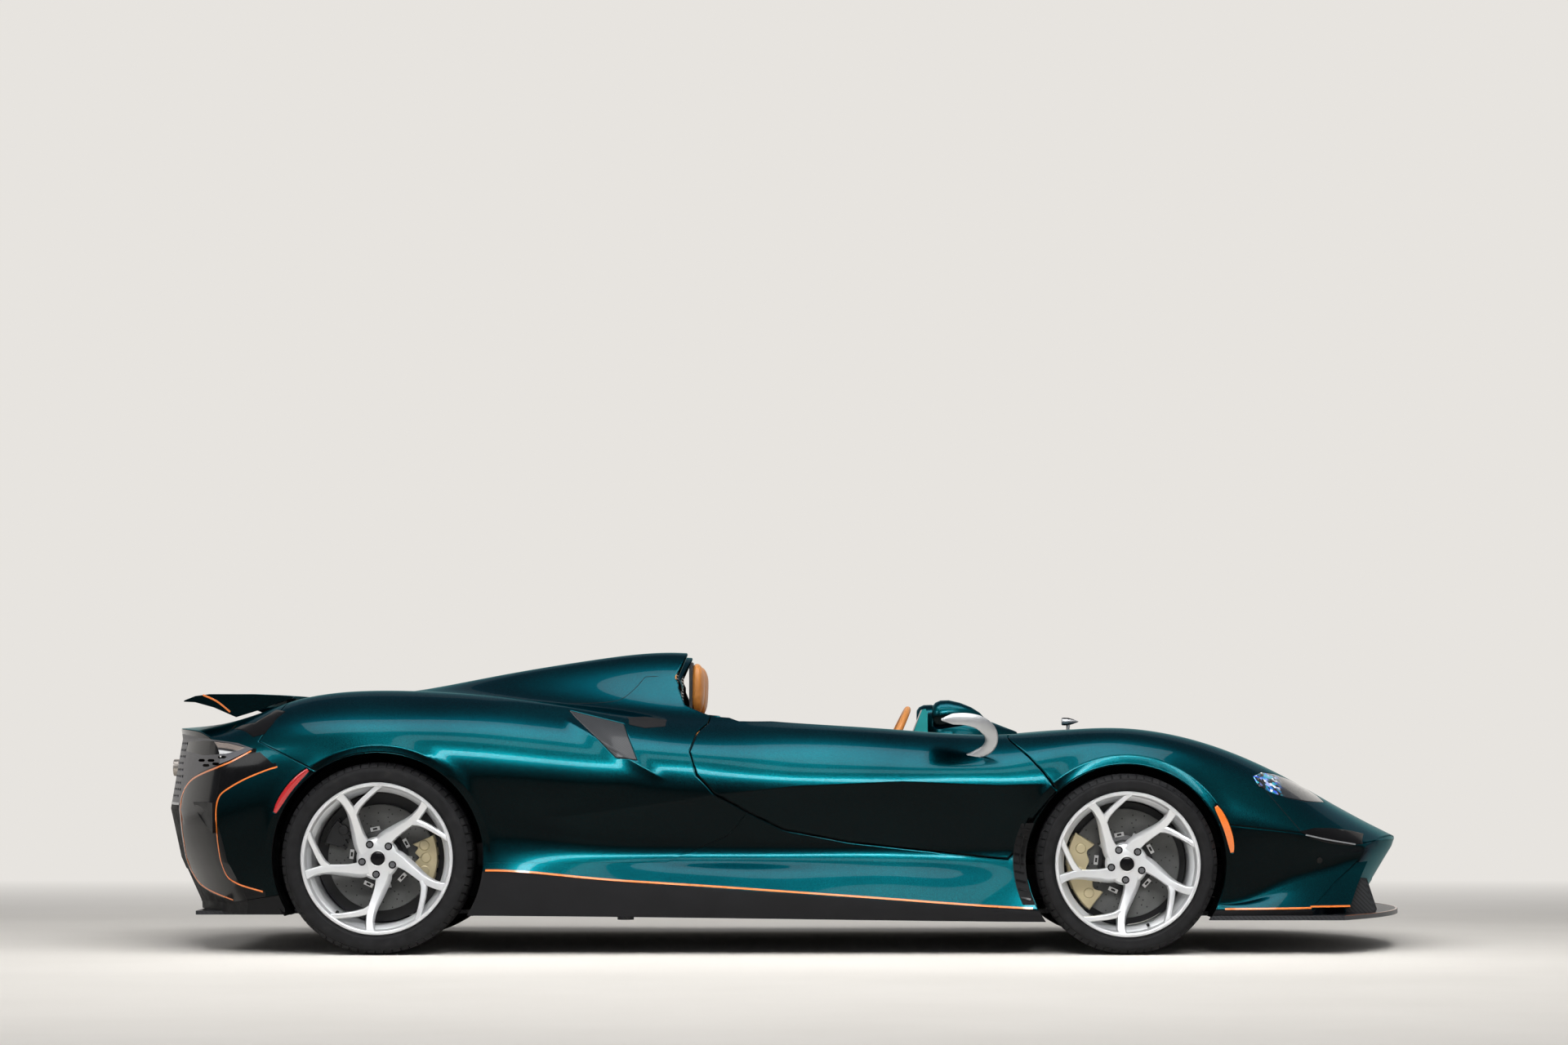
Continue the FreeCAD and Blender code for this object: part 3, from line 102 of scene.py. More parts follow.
STATIONS = np.array(sorted(SECTIONS), float)
HALF_SECTIONS = np.array([SECTIONS[u] for u in sorted(SECTIONS)], float)
HALF_ROWS = -np.append(np.cumsum(ROW_STEPS[::-1])[::-1], 0).astype(float)
ROWS = np.append(HALF_ROWS, -HALF_ROWS[-2::-1])
ALONG = spline_operator(STATIONS)
ACROSS = spline_operator(ROWS)
SECTION_BENDS = np.einsum("ij,jkl->ikl", ALONG, HALF_SECTIONS)


def spline_weights(xs, x):
    """Interval of each x, with the four weights of its end values and end bends."""
    i = np.clip(np.searchsorted(xs, x) - 1, 0, len(xs) - 2)
    step = xs[i + 1] - xs[i]
    ahead, back = xs[i + 1] - x, x - xs[i]
    return i, (ahead / step, back / step,
               ahead ** 3 / (6 * step) - step * ahead / 6,
               back ** 3 / (6 * step) - step * back / 6)


def skin(u, t):
    """Points of the outer skin in millimetres: u runs along the car, t from the right sill to the left."""
    u, t = np.broadcast_arrays(np.asarray(u, float), np.asarray(t, float))
    shape = u.shape
    u, t = u.ravel(), t.ravel()
    i, (a, b, c, d) = spline_weights(STATIONS, u)
    half = (a[:, None, None] * HALF_SECTIONS[i] + b[:, None, None] * HALF_SECTIONS[i + 1]
            + c[:, None, None] * SECTION_BENDS[i] + d[:, None, None] * SECTION_BENDS[i + 1])
    y = np.concatenate([-half[:, :, 0], half[:, -2::-1, 0]], axis=1)
    z = np.concatenate([half[:, :, 1], half[:, -2::-1, 1]], axis=1)
    j, (a, b, c, d) = spline_weights(ROWS, t)
    k = np.arange(len(u))
    point = []
    for values in (y, z):
        bends = values @ ACROSS.T
        point.append(a * values[k, j] + b * values[k, j + 1] + c * bends[k, j] + d * bends[k, j + 1])
    y, z = point
    bow = np.where(u > NOSE_BOW[0], -NOSE_BOW[2] * ((u - NOSE_BOW[0]) / NOSE_BOW[1]) ** 2, 0.0)
    bow = np.where(u < TAIL_BOW[0], TAIL_BOW[2] * ((TAIL_BOW[0] - u) / TAIL_BOW[1]) ** 2, bow)
    x = u + bow * (y / BOW_HALF_WIDTH) ** 2
    return np.stack([x, y, z], axis=1).reshape(shape + (3,))


def skin_frame(u, t, step=1.0):
    """Outward unit normals and both tangents of the skin."""
    along = (skin(u + step, t) - skin(u - step, t)) / (2 * step)
    over = (skin(u, t + step) - skin(u, t - step)) / (2 * step)
    normal = np.cross(along, over)
    normal /= np.linalg.norm(normal, axis=-1, keepdims=True)
    return normal, along, over


def to_flat(along, over, vector):
    """Turns tangent vectors in space into steps of (u, t)."""
    g11 = (along * along).sum(-1)
    g12 = (along * over).sum(-1)
    g22 = (over * over).sum(-1)
    p = (along * vector).sum(-1)
    q = (over * vector).sum(-1)
    det = g11 * g22 - g12 * g12
    return np.stack([(g22 * p - g12 * q) / det, (g11 * q - g12 * p) / det], axis=-1)


GUESS_U, GUESS_T = np.meshgrid(np.arange(-2600, 2351, 35.0), np.linspace(ROWS[0], ROWS[-1], 111),
                               indexing="ij")
GUESS = KDTree(GUESS_U.size)
for number, spot in enumerate(skin(GUESS_U, GUESS_T).reshape(-1, 3)):
    GUESS.insert(spot, number)
GUESS.balance()


def on_skin(points):
    """(u, t) of the skin point nearest to each point, its distance and the skin's normal there."""
    near = [GUESS.find(p)[1] for p in points]
    flat = np.stack([GUESS_U.ravel()[near], GUESS_T.ravel()[near]], axis=1)
    for _ in range(8):
        _, along, over = skin_frame(flat[:, 0], flat[:, 1])
        flat = flat + to_flat(along, over, points - skin(flat[:, 0], flat[:, 1]))
        flat[:, 0] = np.clip(flat[:, 0], -2605, 2355)
        flat[:, 1] = np.clip(flat[:, 1], ROWS[0] - 2, ROWS[-1] + 2)
    normal = skin_frame(flat[:, 0], flat[:, 1])[0]
    off = points - skin(flat[:, 0], flat[:, 1])
    return flat, np.linalg.norm(off, axis=1), normal


# Mesh making: every piece is one closed mesh at the origin
class Piece:
    """Gathers closed forms, in millimetres of the car's frame, into one mesh."""

    def __init__(self, *finishes):
        self.finishes = finishes
        self.points = []
        self.faces = []
        self.marks = []
        self.count = 0

    def add(self, points, faces, finish=0, at=None):
        points = np.asarray(points, float)
        if at is not None:
            points = points @ np.array(at.to_3x3()).T + np.array(at.translation)
        self.points.append(points)
        self.faces += [[v + self.count for v in face] for face in faces]
        marks = finish if isinstance(finish, (list, np.ndarray)) else [finish] * len(faces)
        self.marks += list(marks)
        self.count += len(points)
        return self

    def object(self, name, body=None, stands_for=(), sharp=35, corners=None, settle=True):
        mesh = bpy.data.meshes.new(name)
        mesh.from_pydata((np.concatenate(self.points) * MM).tolist(), [], self.faces)
        for finish in self.finishes:
            mesh.materials.append(finish)
        mesh.polygons.foreach_set("material_index", np.array(self.marks, np.int32))
        mesh.polygons.foreach_set("use_smooth", np.ones(len(self.faces), bool))
        mesh.update()
        if settle:
            outwards = bmesh.new()
            outwards.from_mesh(mesh)
            bmesh.ops.recalc_face_normals(outwards, faces=outwards.faces)
            outwards.to_mesh(mesh)
            outwards.free()
        if sharp:
            mesh.set_sharp_from_angle(angle=math.radians(sharp))
        made = bpy.data.objects.new(name, mesh)
        bpy.context.scene.collection.objects.link(made)
        if corners:
            bevel = made.modifiers.new("rounded", "BEVEL")
            bevel.width = corners * MM
            bevel.segments = 2
            bevel.limit_method = "ANGLE"
            bevel.angle_limit = math.radians(40)
            bevel.harden_normals = True
        if body:
            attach(made, body)
        if stands_for:
            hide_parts(*stands_for)
        return made


def rings(loops, looped=False):
    """Skins a run of equal rings of points; the ends are capped unless the run is looped."""
    loops = [np.asarray(r, float) for r in loops]
    n, count = len(loops[0]), len(loops)
    faces = []
    for i in range(count if looped else count - 1):
        a, b = i * n, ((i + 1) % count) * n
        for j in range(n):
            k = (j + 1) % n
            faces.append([a + j, b + j, b + k, a + k])
    if not looped:
        faces.append(list(range(n)))
        faces.append(list(range(count * n - 1, (count - 1) * n - 1, -1)))
    return np.concatenate(loops), faces


def lathe(profile, steps=96, start=0.0, turn=360.0):
    """Closed outline of (radius, height), clockwise as drawn with radius to the right, spun about Z."""
    whole = abs(turn - 360) < 1e-6
    count = steps if whole else steps + 1
    loops = []
    for k in range(count):
        a = math.radians(start + turn * k / steps)
        loops.append([(r * math.cos(a), r * math.sin(a), h) for r, h in profile])
    return rings(loops, looped=whole)


def eased(points, per=6, loop=False):
    """Smooth curve through the points."""
    p = np.asarray(points, float)
    if loop:
        p = np.concatenate([p[-1:], p, p[:2]])
    else:
        p = np.concatenate([2 * p[:1] - p[1:2], p, 2 * p[-1:] - p[-2:-1]])
    out = []
    for i in range(1, len(p) - 2):
        for k in range(per):
            s = k / per
            out.append(0.5 * (2 * p[i] + (p[i + 1] - p[i - 1]) * s
                              + (2 * p[i - 1] - 5 * p[i] + 4 * p[i + 1] - p[i + 2]) * s * s
                              + (3 * p[i] - p[i - 1] - 3 * p[i + 1] + p[i + 2]) * s ** 3))
    if not loop:
        out.append(p[-2])
    return np.array(out)


def swept(path, profile, up):
    """Profile (side, up) carried along a path; up is one direction or one for each point."""
    path = np.asarray(path, float)
    up = np.broadcast_to(np.asarray(up, float), path.shape)
    ahead = np.gradient(path, axis=0)
    ahead /= np.linalg.norm(ahead, axis=1, keepdims=True)
    side = np.cross(ahead, up)
    side /= np.linalg.norm(side, axis=1, keepdims=True)
    rise = np.cross(side, ahead)
    profile = np.asarray(profile, float)
    if profile.ndim == 2:
        profile = np.broadcast_to(profile, (len(path),) + profile.shape)
    return rings([c + (w[:, :1] * d + w[:, 1:] * r) for c, d, r, w in zip(path, side, rise, profile)])


def round_profile(radius, steps=12, flat=1.0):
    turn = [2 * math.pi * k / steps for k in range(steps)]
    return [(radius * math.cos(a), radius * flat * math.sin(a)) for a in turn]


def raised(outline, low, high):
    """Plan outline (x, y), counter-clockwise, raised from low to high along Z."""
    loops = [[(x, y, h) for x, y in outline] for h in (high, low)]
    return rings(loops)


def flank(outline, side, inner, outer):
    """Side-view outline (x, z) carried from y = inner to y = outer on one side (-1 right, 1 left)."""
    loops = [[(x, side * y, z) for x, z in outline] for y in (inner, outer)]
    points, faces = rings(loops)
    first = np.array(loops[0])
    area = sum(a[0] * b[2] - b[0] * a[2] for a, b in zip(first, np.roll(first, -1, 0)))
    if area * side < 0:
        faces = [f[::-1] for f in faces]
    return points, faces


def turned_over(faces):
    return [f[::-1] for f in faces]


# Finishes: node materials on object coordinates
def made_of(name, colour, metal=0.0, rough=0.5, **sockets):
    """Principled surface; returns the material, its tree and its shader."""
    material = bpy.data.materials.new(name)
    material.use_nodes = True
    tree = material.node_tree
    shader = tree.nodes["Principled BSDF"]
    shader.inputs["Base Color"].default_value = (*colour, 1.0)
    shader.inputs["Metallic"].default_value = metal
    shader.inputs["Roughness"].default_value = rough
    for key, value in sockets.items():
        shader.inputs[key.replace("_", " ")].default_value = value
    return material, tree, shader


def wire(tree, source, target):
    tree.links.new(source, target)


def place_of(tree, scale=(1, 1, 1), turn=(0, 0, 0)):
    coordinates = tree.nodes.new("ShaderNodeTexCoord")
    mapping = tree.nodes.new("ShaderNodeMapping")
    mapping.inputs["Scale"].default_value = scale
    mapping.inputs["Rotation"].default_value = [math.radians(a) for a in turn]
    wire(tree, coordinates.outputs["Object"], mapping.inputs["Vector"])
    return mapping.outputs["Vector"]


def noise_of(tree, place, scale, detail=3.0, rough=0.55):
    noise = tree.nodes.new("ShaderNodeTexNoise")
    noise.inputs["Scale"].default_value = scale
    noise.inputs["Detail"].default_value = detail
    noise.inputs["Roughness"].default_value = rough
    wire(tree, place, noise.inputs["Vector"])
    return noise.outputs["Fac"]


def cells_of(tree, place, scale, kind="F1", output="Distance"):
    cells = tree.nodes.new("ShaderNodeTexVoronoi")
    cells.feature = kind
    cells.inputs["Scale"].default_value = scale
    wire(tree, place, cells.inputs["Vector"])
    return cells.outputs[output]


def spread(tree, value, low, high, start=0.0, end=1.0):
    ranged = tree.nodes.new("ShaderNodeMapRange")
    ranged.inputs["From Min"].default_value = start
    ranged.inputs["From Max"].default_value = end
    ranged.inputs["To Min"].default_value = low
    ranged.inputs["To Max"].default_value = high
    wire(tree, value, ranged.inputs["Value"])
    return ranged.outputs["Result"]


def tints(tree, value, *stops):
    ramp = tree.nodes.new("ShaderNodeValToRGB")
    for _ in range(len(stops) - 2):
        ramp.color_ramp.elements.new(0.5)
    for element, (place, colour) in zip(ramp.color_ramp.elements, stops):
        element.position = place
        element.color = (*colour, 1.0)
    wire(tree, value, ramp.inputs["Fac"])
    return ramp.outputs["Color"]


def bumped(tree, shader, height, strength, distance):
    bump = tree.nodes.new("ShaderNodeBump")
    bump.inputs["Strength"].default_value = strength
    bump.inputs["Distance"].default_value = distance
    wire(tree, height, bump.inputs["Height"])
    wire(tree, bump.outputs["Normal"], shader.inputs["Normal"])


def reckon(tree, kind, a, b):
    sum_node = tree.nodes.new("ShaderNodeMath")
    sum_node.operation = kind
    for socket, value in zip(sum_node.inputs, (a, b)):
        if isinstance(value, (int, float)):
            socket.default_value = value
        else:
            wire(tree, value, socket)
    return sum_node.outputs[0]


def blended_tone(tree, first, second, share, kind="MIX"):
    """Two colours mixed or multiplied; share is a number or a socket."""
    mix = tree.nodes.new("ShaderNodeMix")
    mix.data_type = "RGBA"
    mix.blend_type = kind
    if isinstance(share, float):
        mix.inputs[0].default_value = share
    else:
        wire(tree, share, mix.inputs[0])
    wire(tree, first, mix.inputs[6])
    wire(tree, second, mix.inputs[7])
    return mix.outputs[2]


def teal_paint():
    """Deep metallic teal with light and shade painted into its colour by its facing: dark facing down,
    brightest tilted a little up, dimmer facing straight up; fine flakes under a thin clear coat.
    """
    material, tree, shader = made_of("teal_flake_paint", (0.001, 0.06, 0.07), 1.0, 0.26,
                                     Coat_Weight=0.14, Coat_Roughness=0.02, Coat_IOR=1.5,
                                     Specular_Tint=(0.06, 0.50, 0.56, 1.0))
    place = place_of(tree)
    facing = tree.nodes.new("ShaderNodeNewGeometry")
    way = tree.nodes.new("ShaderNodeSeparateXYZ")
    wire(tree, facing.outputs["Normal"], way.inputs["Vector"])
    # Painted light and shade: the base colour darkens where the surface faces down in the world and dims
    # where it faces straight up.
    painted_light_by_facing = tints(tree, spread(tree, way.outputs["Z"], 0.0, 1.0, -0.12, 0.72), (0.0, (0.06, 0.05, 0.05)),
                 (0.12, (0.10, 0.09, 0.09)), (0.32, (0.60, 0.58, 0.60)),
                 (0.5, (1.0, 1.0, 1.0)), (0.72, (0.80, 0.86, 0.86)), (1.0, (0.55, 0.54, 0.62)))
    flakes = cells_of(tree, place, 1500.0, output="Color")
    split = tree.nodes.new("ShaderNodeSeparateColor")
    wire(tree, flakes, split.inputs["Color"])
    cloud = noise_of(tree, place, 2.2, 2.0)
    mixed = reckon(tree, "ADD", reckon(tree, "MULTIPLY", split.outputs["Red"], 0.5),
                   reckon(tree, "MULTIPLY", cloud, 0.5))
    tone = tints(tree, mixed, (0.15, (0.0004, 0.030, 0.040)), (0.55, (0.0008, 0.062, 0.076)),
                 (0.9, (0.0015, 0.150, 0.170)))
    wire(tree, blended_tone(tree, painted_light_by_facing, tone, 1.0, "MULTIPLY"), shader.inputs["Base Color"])
    wire(tree, spread(tree, split.outputs["Green"], 0.22, 0.36), shader.inputs["Roughness"])
    return material


def plain_coat(name, colour, metal, rough, grain=900.0, depth=0.08, lift=1.25, **sockets):
    """Even finish with a fine grain in its colour, gloss and relief."""
    material, tree, shader = made_of(name, colour, metal, rough, **sockets)
    place = place_of(tree)
    fine = noise_of(tree, place, grain, 4.0)
    broad = noise_of(tree, place, grain / 60, 3.0)
    both = reckon(tree, "ADD", reckon(tree, "MULTIPLY", fine, 0.4), reckon(tree, "MULTIPLY", broad, 0.6))
    low = tuple(c / lift for c in colour)
    high = tuple(min(1.0, c * lift) for c in colour)
    wire(tree, tints(tree, both, (0.3, low), (0.7, high)), shader.inputs["Base Color"])
    wire(tree, spread(tree, broad, rough * 0.82, min(1.0, rough * 1.2), 0.3, 0.7),
         shader.inputs["Roughness"])
    bumped(tree, shader, fine, depth, 0.0006)
    return material


def carbon_weave(name, lay=0.004, coat=0.15):
    """Twill of dark tows under clear lacquer; lay is the width of a tow in metres."""
    material, tree, shader = made_of(name, (0.02, 0.021, 0.023), 0.0, 0.4, IOR=1.3, Coat_Weight=coat,
                                     Coat_Roughness=0.05)
    place = place_of(tree, (1 / lay, 1 / lay, 1 / lay))
    parts = tree.nodes.new("ShaderNodeSeparateXYZ")
    wire(tree, place, parts.inputs["Vector"])
    across_side = reckon(tree, "ADD", parts.outputs["X"], parts.outputs["Y"])
    step = reckon(tree, "FLOOR", across_side, 0.0)
    rise = reckon(tree, "FLOOR", reckon(tree, "ADD", parts.outputs["Z"], parts.outputs["Y"]), 0.0)
    twill = reckon(tree, "PINGPONG", reckon(tree, "ADD", step, rise), 2.0)
    over = reckon(tree, "GREATER_THAN", twill, 0.9)
    ripple = reckon(tree, "PINGPONG", across_side, 0.5)
    ripple_up = reckon(tree, "PINGPONG", parts.outputs["Z"], 0.5)
    tow = reckon(tree, "ADD", reckon(tree, "MULTIPLY", over, ripple),
                 reckon(tree, "MULTIPLY", reckon(tree, "SUBTRACT", 1.0, over), ripple_up))
    wire(tree, tints(tree, over, (0.2, (0.008, 0.009, 0.010)), (0.8, (0.034, 0.036, 0.040))),
         shader.inputs["Base Color"])
    wire(tree, spread(tree, tow, 0.28, 0.5, 0.0, 0.5), shader.inputs["Roughness"])
    bumped(tree, shader, tow, 0.25, 0.0003)
    return material


def brushed(name, colour, rough, scale=(60, 60, 1400), metal=1.0, depth=0.08):
    """Metal with fine directional marks."""
    material, tree, shader = made_of(name, colour, metal, rough)
    marks = noise_of(tree, place_of(tree, scale), 1.0, 4.0)
    broad = noise_of(tree, place_of(tree), 14.0, 3.0)
    wire(tree, tints(tree, broad, (0.3, tuple(c * 0.86 for c in colour)), (0.7, colour)),
         shader.inputs["Base Color"])
    wire(tree, spread(tree, marks, rough * 0.75, rough * 1.35), shader.inputs["Roughness"])
    bumped(tree, shader, marks, depth, 0.0003)
    return material


def grained_leather(name, colour, rough=0.42):
    material, tree, shader = made_of(name, colour, 0.0, rough, Coat_Weight=0.15, Coat_Roughness=0.35)
    place = place_of(tree)
    pores = cells_of(tree, place, 700.0)
    folds = cells_of(tree, place, 260.0, "F2")
    cloud = noise_of(tree, place, 9.0, 4.0)
    wear = reckon(tree, "ADD", reckon(tree, "MULTIPLY", pores, 0.35), reckon(tree, "MULTIPLY", cloud, 0.65))
    wire(tree, tints(tree, wear, (0.2, tuple(c * 0.72 for c in colour)), (0.5, colour),
                     (0.85, tuple(min(1.0, c * 1.18) for c in colour))), shader.inputs["Base Color"])
    wire(tree, spread(tree, cloud, rough * 0.85, rough * 1.25, 0.3, 0.7), shader.inputs["Roughness"])
    bumped(tree, shader, reckon(tree, "ADD", pores, reckon(tree, "MULTIPLY", folds, 0.5)), 0.35, 0.0004)
    return material


def tyre_rubber():
    material, tree, shader = made_of("tyre_rubber", (0.022, 0.022, 0.024), 0.0, 0.62, IOR=1.25)
    place = place_of(tree)
    dust = noise_of(tree, place, 26.0, 5.0)
    grain = noise_of(tree, place, 1500.0, 2.0)
    wire(tree, tints(tree, dust, (0.35, (0.007, 0.007, 0.0075)), (0.6, (0.013, 0.013, 0.014)),
                     (0.8, (0.026, 0.025, 0.024))), shader.inputs["Base Color"])
    wire(tree, spread(tree, dust, 0.5, 0.8, 0.3, 0.7), shader.inputs["Roughness"])
    bumped(tree, shader, grain, 0.18, 0.0003)
    return material


def lamp_glass():
    """Dark headlamp well under gloss, with painted glints, blue and near-white, on facets at its rear end.
    """
    material, tree, shader = made_of("headlamp_glass", (0.004, 0.005, 0.007), 0.0, 0.12,
                                     Coat_Weight=1.0, Coat_Roughness=0.02)
    place = place_of(tree)
    parts = tree.nodes.new("ShaderNodeSeparateXYZ")
    wire(tree, place, parts.inputs["Vector"])
    facets = tree.nodes.new("ShaderNodeSeparateColor")
    wire(tree, cells_of(tree, place, 85.0, output="Color"), facets.inputs["Color"])
    dark = (0.004, 0.005, 0.007)
    # Painted glints: cells near the lamp's rear end get blue and near-white highlight colours.
    painted_glints = tints(tree, facets.outputs["Red"], (0.28, dark), (0.40, (0.0, 0.14, 0.24)),
                  (0.58, (0.02, 0.42, 0.55)),
                  (0.76, (0.02, 0.10, 0.70)), (0.93, (0.75, 0.80, 0.85)))
    plain = tints(tree, facets.outputs["Green"], (0.0, dark), (1.0, (0.010, 0.012, 0.016)))
    near = spread(tree, parts.outputs["X"], 1.0, 0.0, 1.765, 1.80)
    wire(tree, blended_tone(tree, plain, painted_glints, near), shader.inputs["Base Color"])
    wire(tree, spread(tree, facets.outputs["Blue"], 0.06, 0.30), shader.inputs["Roughness"])
    return material


def tail_glass():
    """Long rear lamp: a pale lower light bar and a smoked upper one, dark round them."""
    material, tree, shader = made_of("tail_lamp_glass", (0.02, 0.02, 0.02), 0.0, 0.12,
                                     Coat_Weight=1.0, Coat_Roughness=0.02)
    place = place_of(tree)
    parts = tree.nodes.new("ShaderNodeSeparateXYZ")
    wire(tree, place, parts.inputs["Vector"])
    height = reckon(tree, "ADD", parts.outputs["Z"], reckon(tree, "MULTIPLY", reckon(
        tree, "POWER", reckon(tree, "ADD", parts.outputs["X"], 2.08), 2.0), 0.9))
    dark, smoke, bar = (0.012, 0.012, 0.013), (0.23, 0.19, 0.165), (0.72, 0.72, 0.73)
    bands = tints(tree, spread(tree, height, 0.0, 1.0, 0.706, 0.768), (0.04, dark), (0.10, bar), (0.36, bar),
                  (0.42, dark), (0.50, dark), (0.56, smoke), (0.84, smoke), (0.90, dark))
    ribs = noise_of(tree, place, 240.0, 1.0)
    wire(tree, blended_tone(tree, bands, tints(tree, ribs, (0.3, (0.8, 0.8, 0.8)), (0.7, (1.0, 1.0, 1.0))),
                            1.0,
                            "MULTIPLY"), shader.inputs["Base Color"])
    wire(tree, spread(tree, ribs, 0.08, 0.22), shader.inputs["Roughness"])
    return material


PAINT = teal_paint()
# Black of the panels' backs, also used as painted shade in openings, holes and the exhaust pipes.
UNDERSIDE_AND_SHADE = plain_coat("panel_back_and_shade", (0.012, 0.012, 0.013), 0.0, 0.6, 500.0, IOR=1.2)
SATIN_BLACK = plain_coat("satin_black", (0.010, 0.010, 0.011), 0.0, 0.42, 900.0, IOR=1.25)
GLOSS_BLACK = plain_coat("gloss_black", (0.004, 0.004, 0.0045), 0.0, 0.16, 900.0, 0.01,
                         Coat_Weight=0.08, IOR=1.2)
# Grained black plastic, also used as painted shade round the wheel bolts and behind the front vents' slats.
BLACK_PLASTIC_AND_SHADE = plain_coat("grained_plastic_and_shade", (0.010, 0.010, 0.0105), 0.0, 0.6, 1600.0, 0.3,
                           IOR=1.2)
CARBON = carbon_weave("carbon_twill")
RUBBER = tyre_rubber()
RIM_SILVER = plain_coat("rim_silver", (0.70, 0.71, 0.72), 0.55, 0.36, 700.0, 0.015, 1.03, Coat_Weight=0.3)
CERAMIC = plain_coat("ceramic_disc", (0.085, 0.086, 0.084), 0.35, 0.5, 700.0, 0.2, 1.5)
# Black of the disc bells, also used as painted shade in the discs' drilled holes and vent channels.
BELL_BLACK_AND_SHADE = plain_coat("disc_bell_and_shade", (0.012, 0.012, 0.013), 0.3, 0.4, 600.0)
STEEL = brushed("bright_steel", (0.72, 0.72, 0.72), 0.3)
DARK_STEEL = brushed("dark_steel", (0.16, 0.16, 0.17), 0.45)
CAST = plain_coat("cast_alloy", (0.42, 0.42, 0.43), 0.85, 0.5, 420.0, 0.4)
GOLD = plain_coat("champagne_gold", (0.56, 0.48, 0.30), 0.75, 0.36, 800.0, 0.06, 1.1, Coat_Weight=0.5)
PIPE_METAL = brushed("exhaust_metal", (0.50, 0.46, 0.42), 0.3)
TAN = grained_leather("tan_leather", (0.62, 0.235, 0.045))
DARK_LEATHER = grained_leather("dark_leather", (0.028, 0.026, 0.026), 0.5)
STRIPE = plain_coat("orange_stripe", (0.80, 0.20, 0.025), 0.0, 0.3, 1200.0, 0.02, 1.06, Coat_Weight=0.8)
TRIM_METAL = brushed("satin_trim", (0.50, 0.51, 0.52), 0.34, (40, 40, 700), 0.75)
MIRROR_GLASS = brushed("mirror_glass", (0.88, 0.89, 0.90), 0.03, (20, 20, 20), 1.0, 0.0)
LAMP_GLASS = lamp_glass()
TAIL_GLASS = tail_glass()
RED_LENS = plain_coat("red_lens", (0.46, 0.008, 0.010), 0.0, 0.14, 300.0, 0.02, 1.2, Coat_Weight=1.0)
AMBER_LENS = plain_coat("amber_lens", (0.75, 0.16, 0.010), 0.0, 0.14, 300.0, 0.02, 1.2, Coat_Weight=1.0)
TEAL_TRIM = plain_coat("teal_trim", (0.010, 0.36, 0.38), 0.1, 0.35, 900.0, 0.1, 1.1)


# Painted panels: the bodywork's skin, cut where the CAD panels are cut (millimetres)
ON_SKIN = 1.5
SHEET_THICKNESS = 2.4
EDGE_DROP = 1.1
CORE_DEPTH = 3.4
PANELS = {
    "front_clamshell": ("root", "paint", 1.1, PAINT),
    "front_bumper": ("root", "paint", 1.1, PAINT),
    "rear_clamshell": ("root", "paint", 1.1, PAINT),
    "side_skirts": ("root", "paint", 1.1, PAINT),
    "door_right": ("door_right", "paint", 0.2, PAINT),
    "door_left": ("door_left", "paint", 0.2, PAINT),
    "intake_panels": ("root", "carbon", 0.6, CARBON),
}


def merged_copy(name):
    """The node's mesh as welded points (mm) and triangles."""
    shape = bmesh.new()
    shape.from_mesh(NODES[name].data)
    bmesh.ops.remove_doubles(shape, verts=shape.verts, dist=0.00002)
    bmesh.ops.triangulate(shape, faces=shape.faces)
    shape.verts.ensure_lookup_table()
    points = np.array([v.co[:] for v in shape.verts]) / MM
    faces = np.array([[v.index for v in f.verts] for f in shape.faces])
    shape.free()
    return points, faces


def outer_faces(points, faces, far, normal):
    """Which triangles lie on the outer skin."""
    on = far < ON_SKIN
    a, b, c = (points[faces[:, k]] for k in range(3))
    way = np.cross(b - a, c - a)
    way /= np.maximum(np.linalg.norm(way, axis=1, keepdims=True), 1e-12)
    mean = normal[faces].mean(1)
    return on[faces].all(1) & ((way * mean).sum(1) > 0.6)


def rim_loops(faces):
    """Closed runs of edges that belong to one face only."""
    seen = {}
    for face in faces:
        for a, b in zip(face, np.roll(face, -1)):
            seen[(a, b)] = True
    ahead = {}
    for a, b in seen:
        if (b, a) not in seen:
            ahead.setdefault(a, []).append(b)
    loops = []
    while ahead:
        start = next(iter(ahead))
        run = [start]
        here = start
        while True:
            choices = ahead.get(here)
            if not choices:
                break
            step = choices.pop()
            if not choices:
                del ahead[here]
            if step == start:
                break
            run.append(step)
            here = step
        if len(run) > 2:
            loops.append(run)
    return loops


def tidy_loop(points, least=2.0):
    """Drops points closer than least to the one before, keeping corners."""
    out = []
    for p in points:
        if not out or np.linalg.norm(p - out[-1]) > least:
            out.append(p)
    while len(out) > 3 and np.linalg.norm(out[0] - out[-1]) <= least:
        out.pop()
    return np.array(out)


def spaced_loop(flat, longest=9.0):
    """Loop with extra points so that no step is longer than longest, eased where it runs smoothly."""
    n = len(flat)
    before = flat - np.roll(flat, 1, 0)
    after = np.roll(flat, -1, 0) - flat
    cos = (before * after).sum(1) / np.maximum(np.linalg.norm(before, axis=1)
                                               * np.linalg.norm(after, axis=1), 1e-9)
    corner = cos < math.cos(math.radians(24))
    out = []
    for i in range(n):
        j = (i + 1) % n
        gap = np.linalg.norm(after[i])
        count = max(1, int(math.ceil(gap / longest)))
        m0 = after[i] if corner[i] else (before[i] / np.linalg.norm(before[i]) + after[i] / gap) * gap / 2
        nxt = after[j]
        m1 = after[i] if corner[j] else (after[i] / gap + nxt / np.linalg.norm(nxt)) * gap / 2
        for k in range(count):
            s = k / count
            out.append((2 * s ** 3 - 3 * s * s + 1) * flat[i] + (s ** 3 - 2 * s * s + s) * m0
                       + (3 * s * s - 2 * s ** 3) * flat[j] + (s ** 3 - s * s) * m1)
    return np.array(out)


